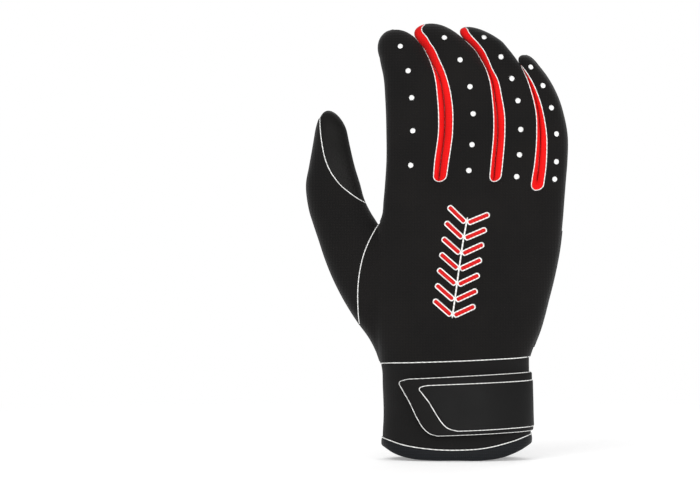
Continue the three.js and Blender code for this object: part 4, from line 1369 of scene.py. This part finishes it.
redShell, edgeShell = Shell(), Shell()
low, high = motif["line"][0][0], motif["line"][-1][0]
for z in np.linspace(low + motif["ends"], high - motif["ends"], motif["stitches"]):
    middle, before, after = (float(smoothCurve(motif["line"], z + step)) for step in (0, -0.5, 0.5))
    along = np.array([after - before, 1.0]) / math.hypot(after - before, 1)
    across = np.array([along[1], -along[0]])
    for sign in (-1, 1):
        start = np.array([middle, z]) + sign * motif["apart"] * across
        end = start + sign * motif["arm"] * across + motif["rise"] * along
        for shell, wider, height in zip((redShell, edgeShell), (0, 2 * motif["edge"]), motif["heights"]):
            outer, under = strokeGrids(start, end, motif["width"] + wider, height)
            shell.addGrid(outer, flip=True).addGrid(under)
rows = np.linspace(low + motif["cordEnds"], high - motif["cordEnds"], motif["cordRows"])
addCord(edgeShell, skin(smoothCurve(motif["line"], rows), rows, back), motif["cord"])
makePiece("motif_stitches", redShell, "glove", [], redThread)
makePiece("motif_edges", edgeShell, "glove", [], whiteThread)
print("motif ready")

# Studio

studio = {
    "distance": 2.4,  # m
    "elevation": 1.0,  # degrees
    "frameWidth": 0.395,  # m, width of the picture at the glove
    "shiftX": -0.125,  # share of the width that the glove stands to the right
    "aim": 0.1225,  # m above the ground
    "sensor": 36,  # mm
    "farthest": 50,  # m
    "floor": 6.0,  # m, half its size
    "floorDrop": 0.0004,
    "paper": (0.18, 0.6),  # m from the glove, between which the floor runs out into white
    "white": 0.86,
    "glow": 0.3,
    "sky": 0.45,
    # name, place, size in m, power in W
    "lamps": [
        ("key", (-0.9, -1.5, 1.5), 1.4, 20),
        ("fill", (1.4, -1.2, 0.9), 1.4, 10),
        ("rear", (0.2, 1.6, 1.4), 1.4, 14),
        ("front", (0.25, -2.3, 0.45), 0.9, 16),
    ],
    "lampAim": (0, 0, 0.12),
}


def addFloor():
    # Paper that is lit only near the glove and runs out into even white further away
    mesh = bpy.data.meshes.new("studio_floor")
    size = studio["floor"]
    corners = [(-size, -size, 0), (size, -size, 0), (size, size, 0), (-size, size, 0)]
    mesh.from_pydata(corners, [], [(0, 1, 2, 3)])
    floor = addObject("studio_floor", mesh)
    floor.location.z = -studio["floorDrop"]
    material = bpy.data.materials.new("paper_white")
    material.use_nodes = True
    tree = material.node_tree
    tree.nodes.clear()
    diffuse = addNode(tree, "ShaderNodeBsdfDiffuse", {"Color": (*[studio["white"]] * 3, 1.0)})
    glow = addNode(tree, "ShaderNodeEmission", {"Color": (1, 1, 1, 1), "Strength": studio["glow"]})
    lit = addNode(tree, "ShaderNodeAddShader", i0=diffuse.outputs[0], i1=glow.outputs[0])
    plain = addNode(tree, "ShaderNodeEmission", {"Color": (1, 1, 1, 1), "Strength": 1.0})
    spot = addNode(tree, "ShaderNodeTexCoord")
    distance = addNode(tree, "ShaderNodeVectorMath", {"operation": "LENGTH"}, i0=spot.outputs["Object"])
    near, far = studio["paper"]
    ends = {"interpolation_type": "SMOOTHSTEP", "From Min": near, "From Max": far}
    share = addNode(tree, "ShaderNodeMapRange", ends, Value=distance.outputs["Value"])
    mix = addNode(tree, "ShaderNodeMixShader", i0=share.outputs[0], i1=lit.outputs[0], i2=plain.outputs[0])
    addNode(tree, "ShaderNodeOutputMaterial", Surface=mix.outputs[0])
    mesh.materials.append(material)


def addWorld():
    # Soft light from all round, and even white where the camera looks past everything
    world = bpy.context.scene.world or bpy.data.worlds.new("studio")
    bpy.context.scene.world = world
    world.use_nodes = True
    tree = world.node_tree
    tree.nodes.clear()
    ray = addNode(tree, "ShaderNodeLightPath").outputs
    larger = {"operation": "MAXIMUM"}
    seen = addNode(tree, "ShaderNodeMath", larger, i0=ray["Is Camera Ray"], i1=ray["Is Transmission Ray"])
    light = addNode(tree, "ShaderNodeBackground", {"Color": (1, 1, 1, 1), "Strength": studio["sky"]})
    plain = addNode(tree, "ShaderNodeBackground", {"Color": (1, 1, 1, 1), "Strength": 1.0})
    mix = addNode(tree, "ShaderNodeMixShader", i0=seen.outputs[0], i1=light.outputs[0], i2=plain.outputs[0])
    addNode(tree, "ShaderNodeOutputWorld", Surface=mix.outputs[0])


def addLamp(name, spot, size, power):
    # A square area lamp turned towards the glove
    lamp = bpy.data.lights.new(name, "AREA")
    lamp.shape = "SQUARE"
    lamp.size = size
    lamp.energy = power
    item = addObject(name, lamp)
    item.location = spot
    direction = np.array(studio["lampAim"]) - np.array(spot)
    yaw = math.atan2(direction[1], direction[0])
    pitch = math.atan2(math.hypot(direction[0], direction[1]), -direction[2])
    item.rotation_euler = (pitch, 0, yaw - math.pi / 2)


def addCamera():
    # In front of the back of the hand, nearly level; lens = sensor width x distance / frame width
    data = bpy.data.cameras.new("view")
    camera = addObject("view", data)
    rise = math.radians(studio["elevation"])
    data.sensor_width = studio["sensor"]
    data.lens = data.sensor_width * studio["distance"] / studio["frameWidth"]
    data.shift_x = studio["shiftX"]
    data.clip_end = studio["farthest"]
    height = studio["aim"] + studio["distance"] * math.sin(rise)
    camera.location = (0, -studio["distance"] * math.cos(rise), height)
    camera.rotation_euler = (math.pi / 2 - rise, 0, 0)
    bpy.context.scene.camera = camera


addFloor()
addWorld()
for lamp in studio["lamps"]:
    addLamp(*lamp)
addCamera()
bpy.context.scene.view_settings.view_transform = "Standard"
print("studio ready")
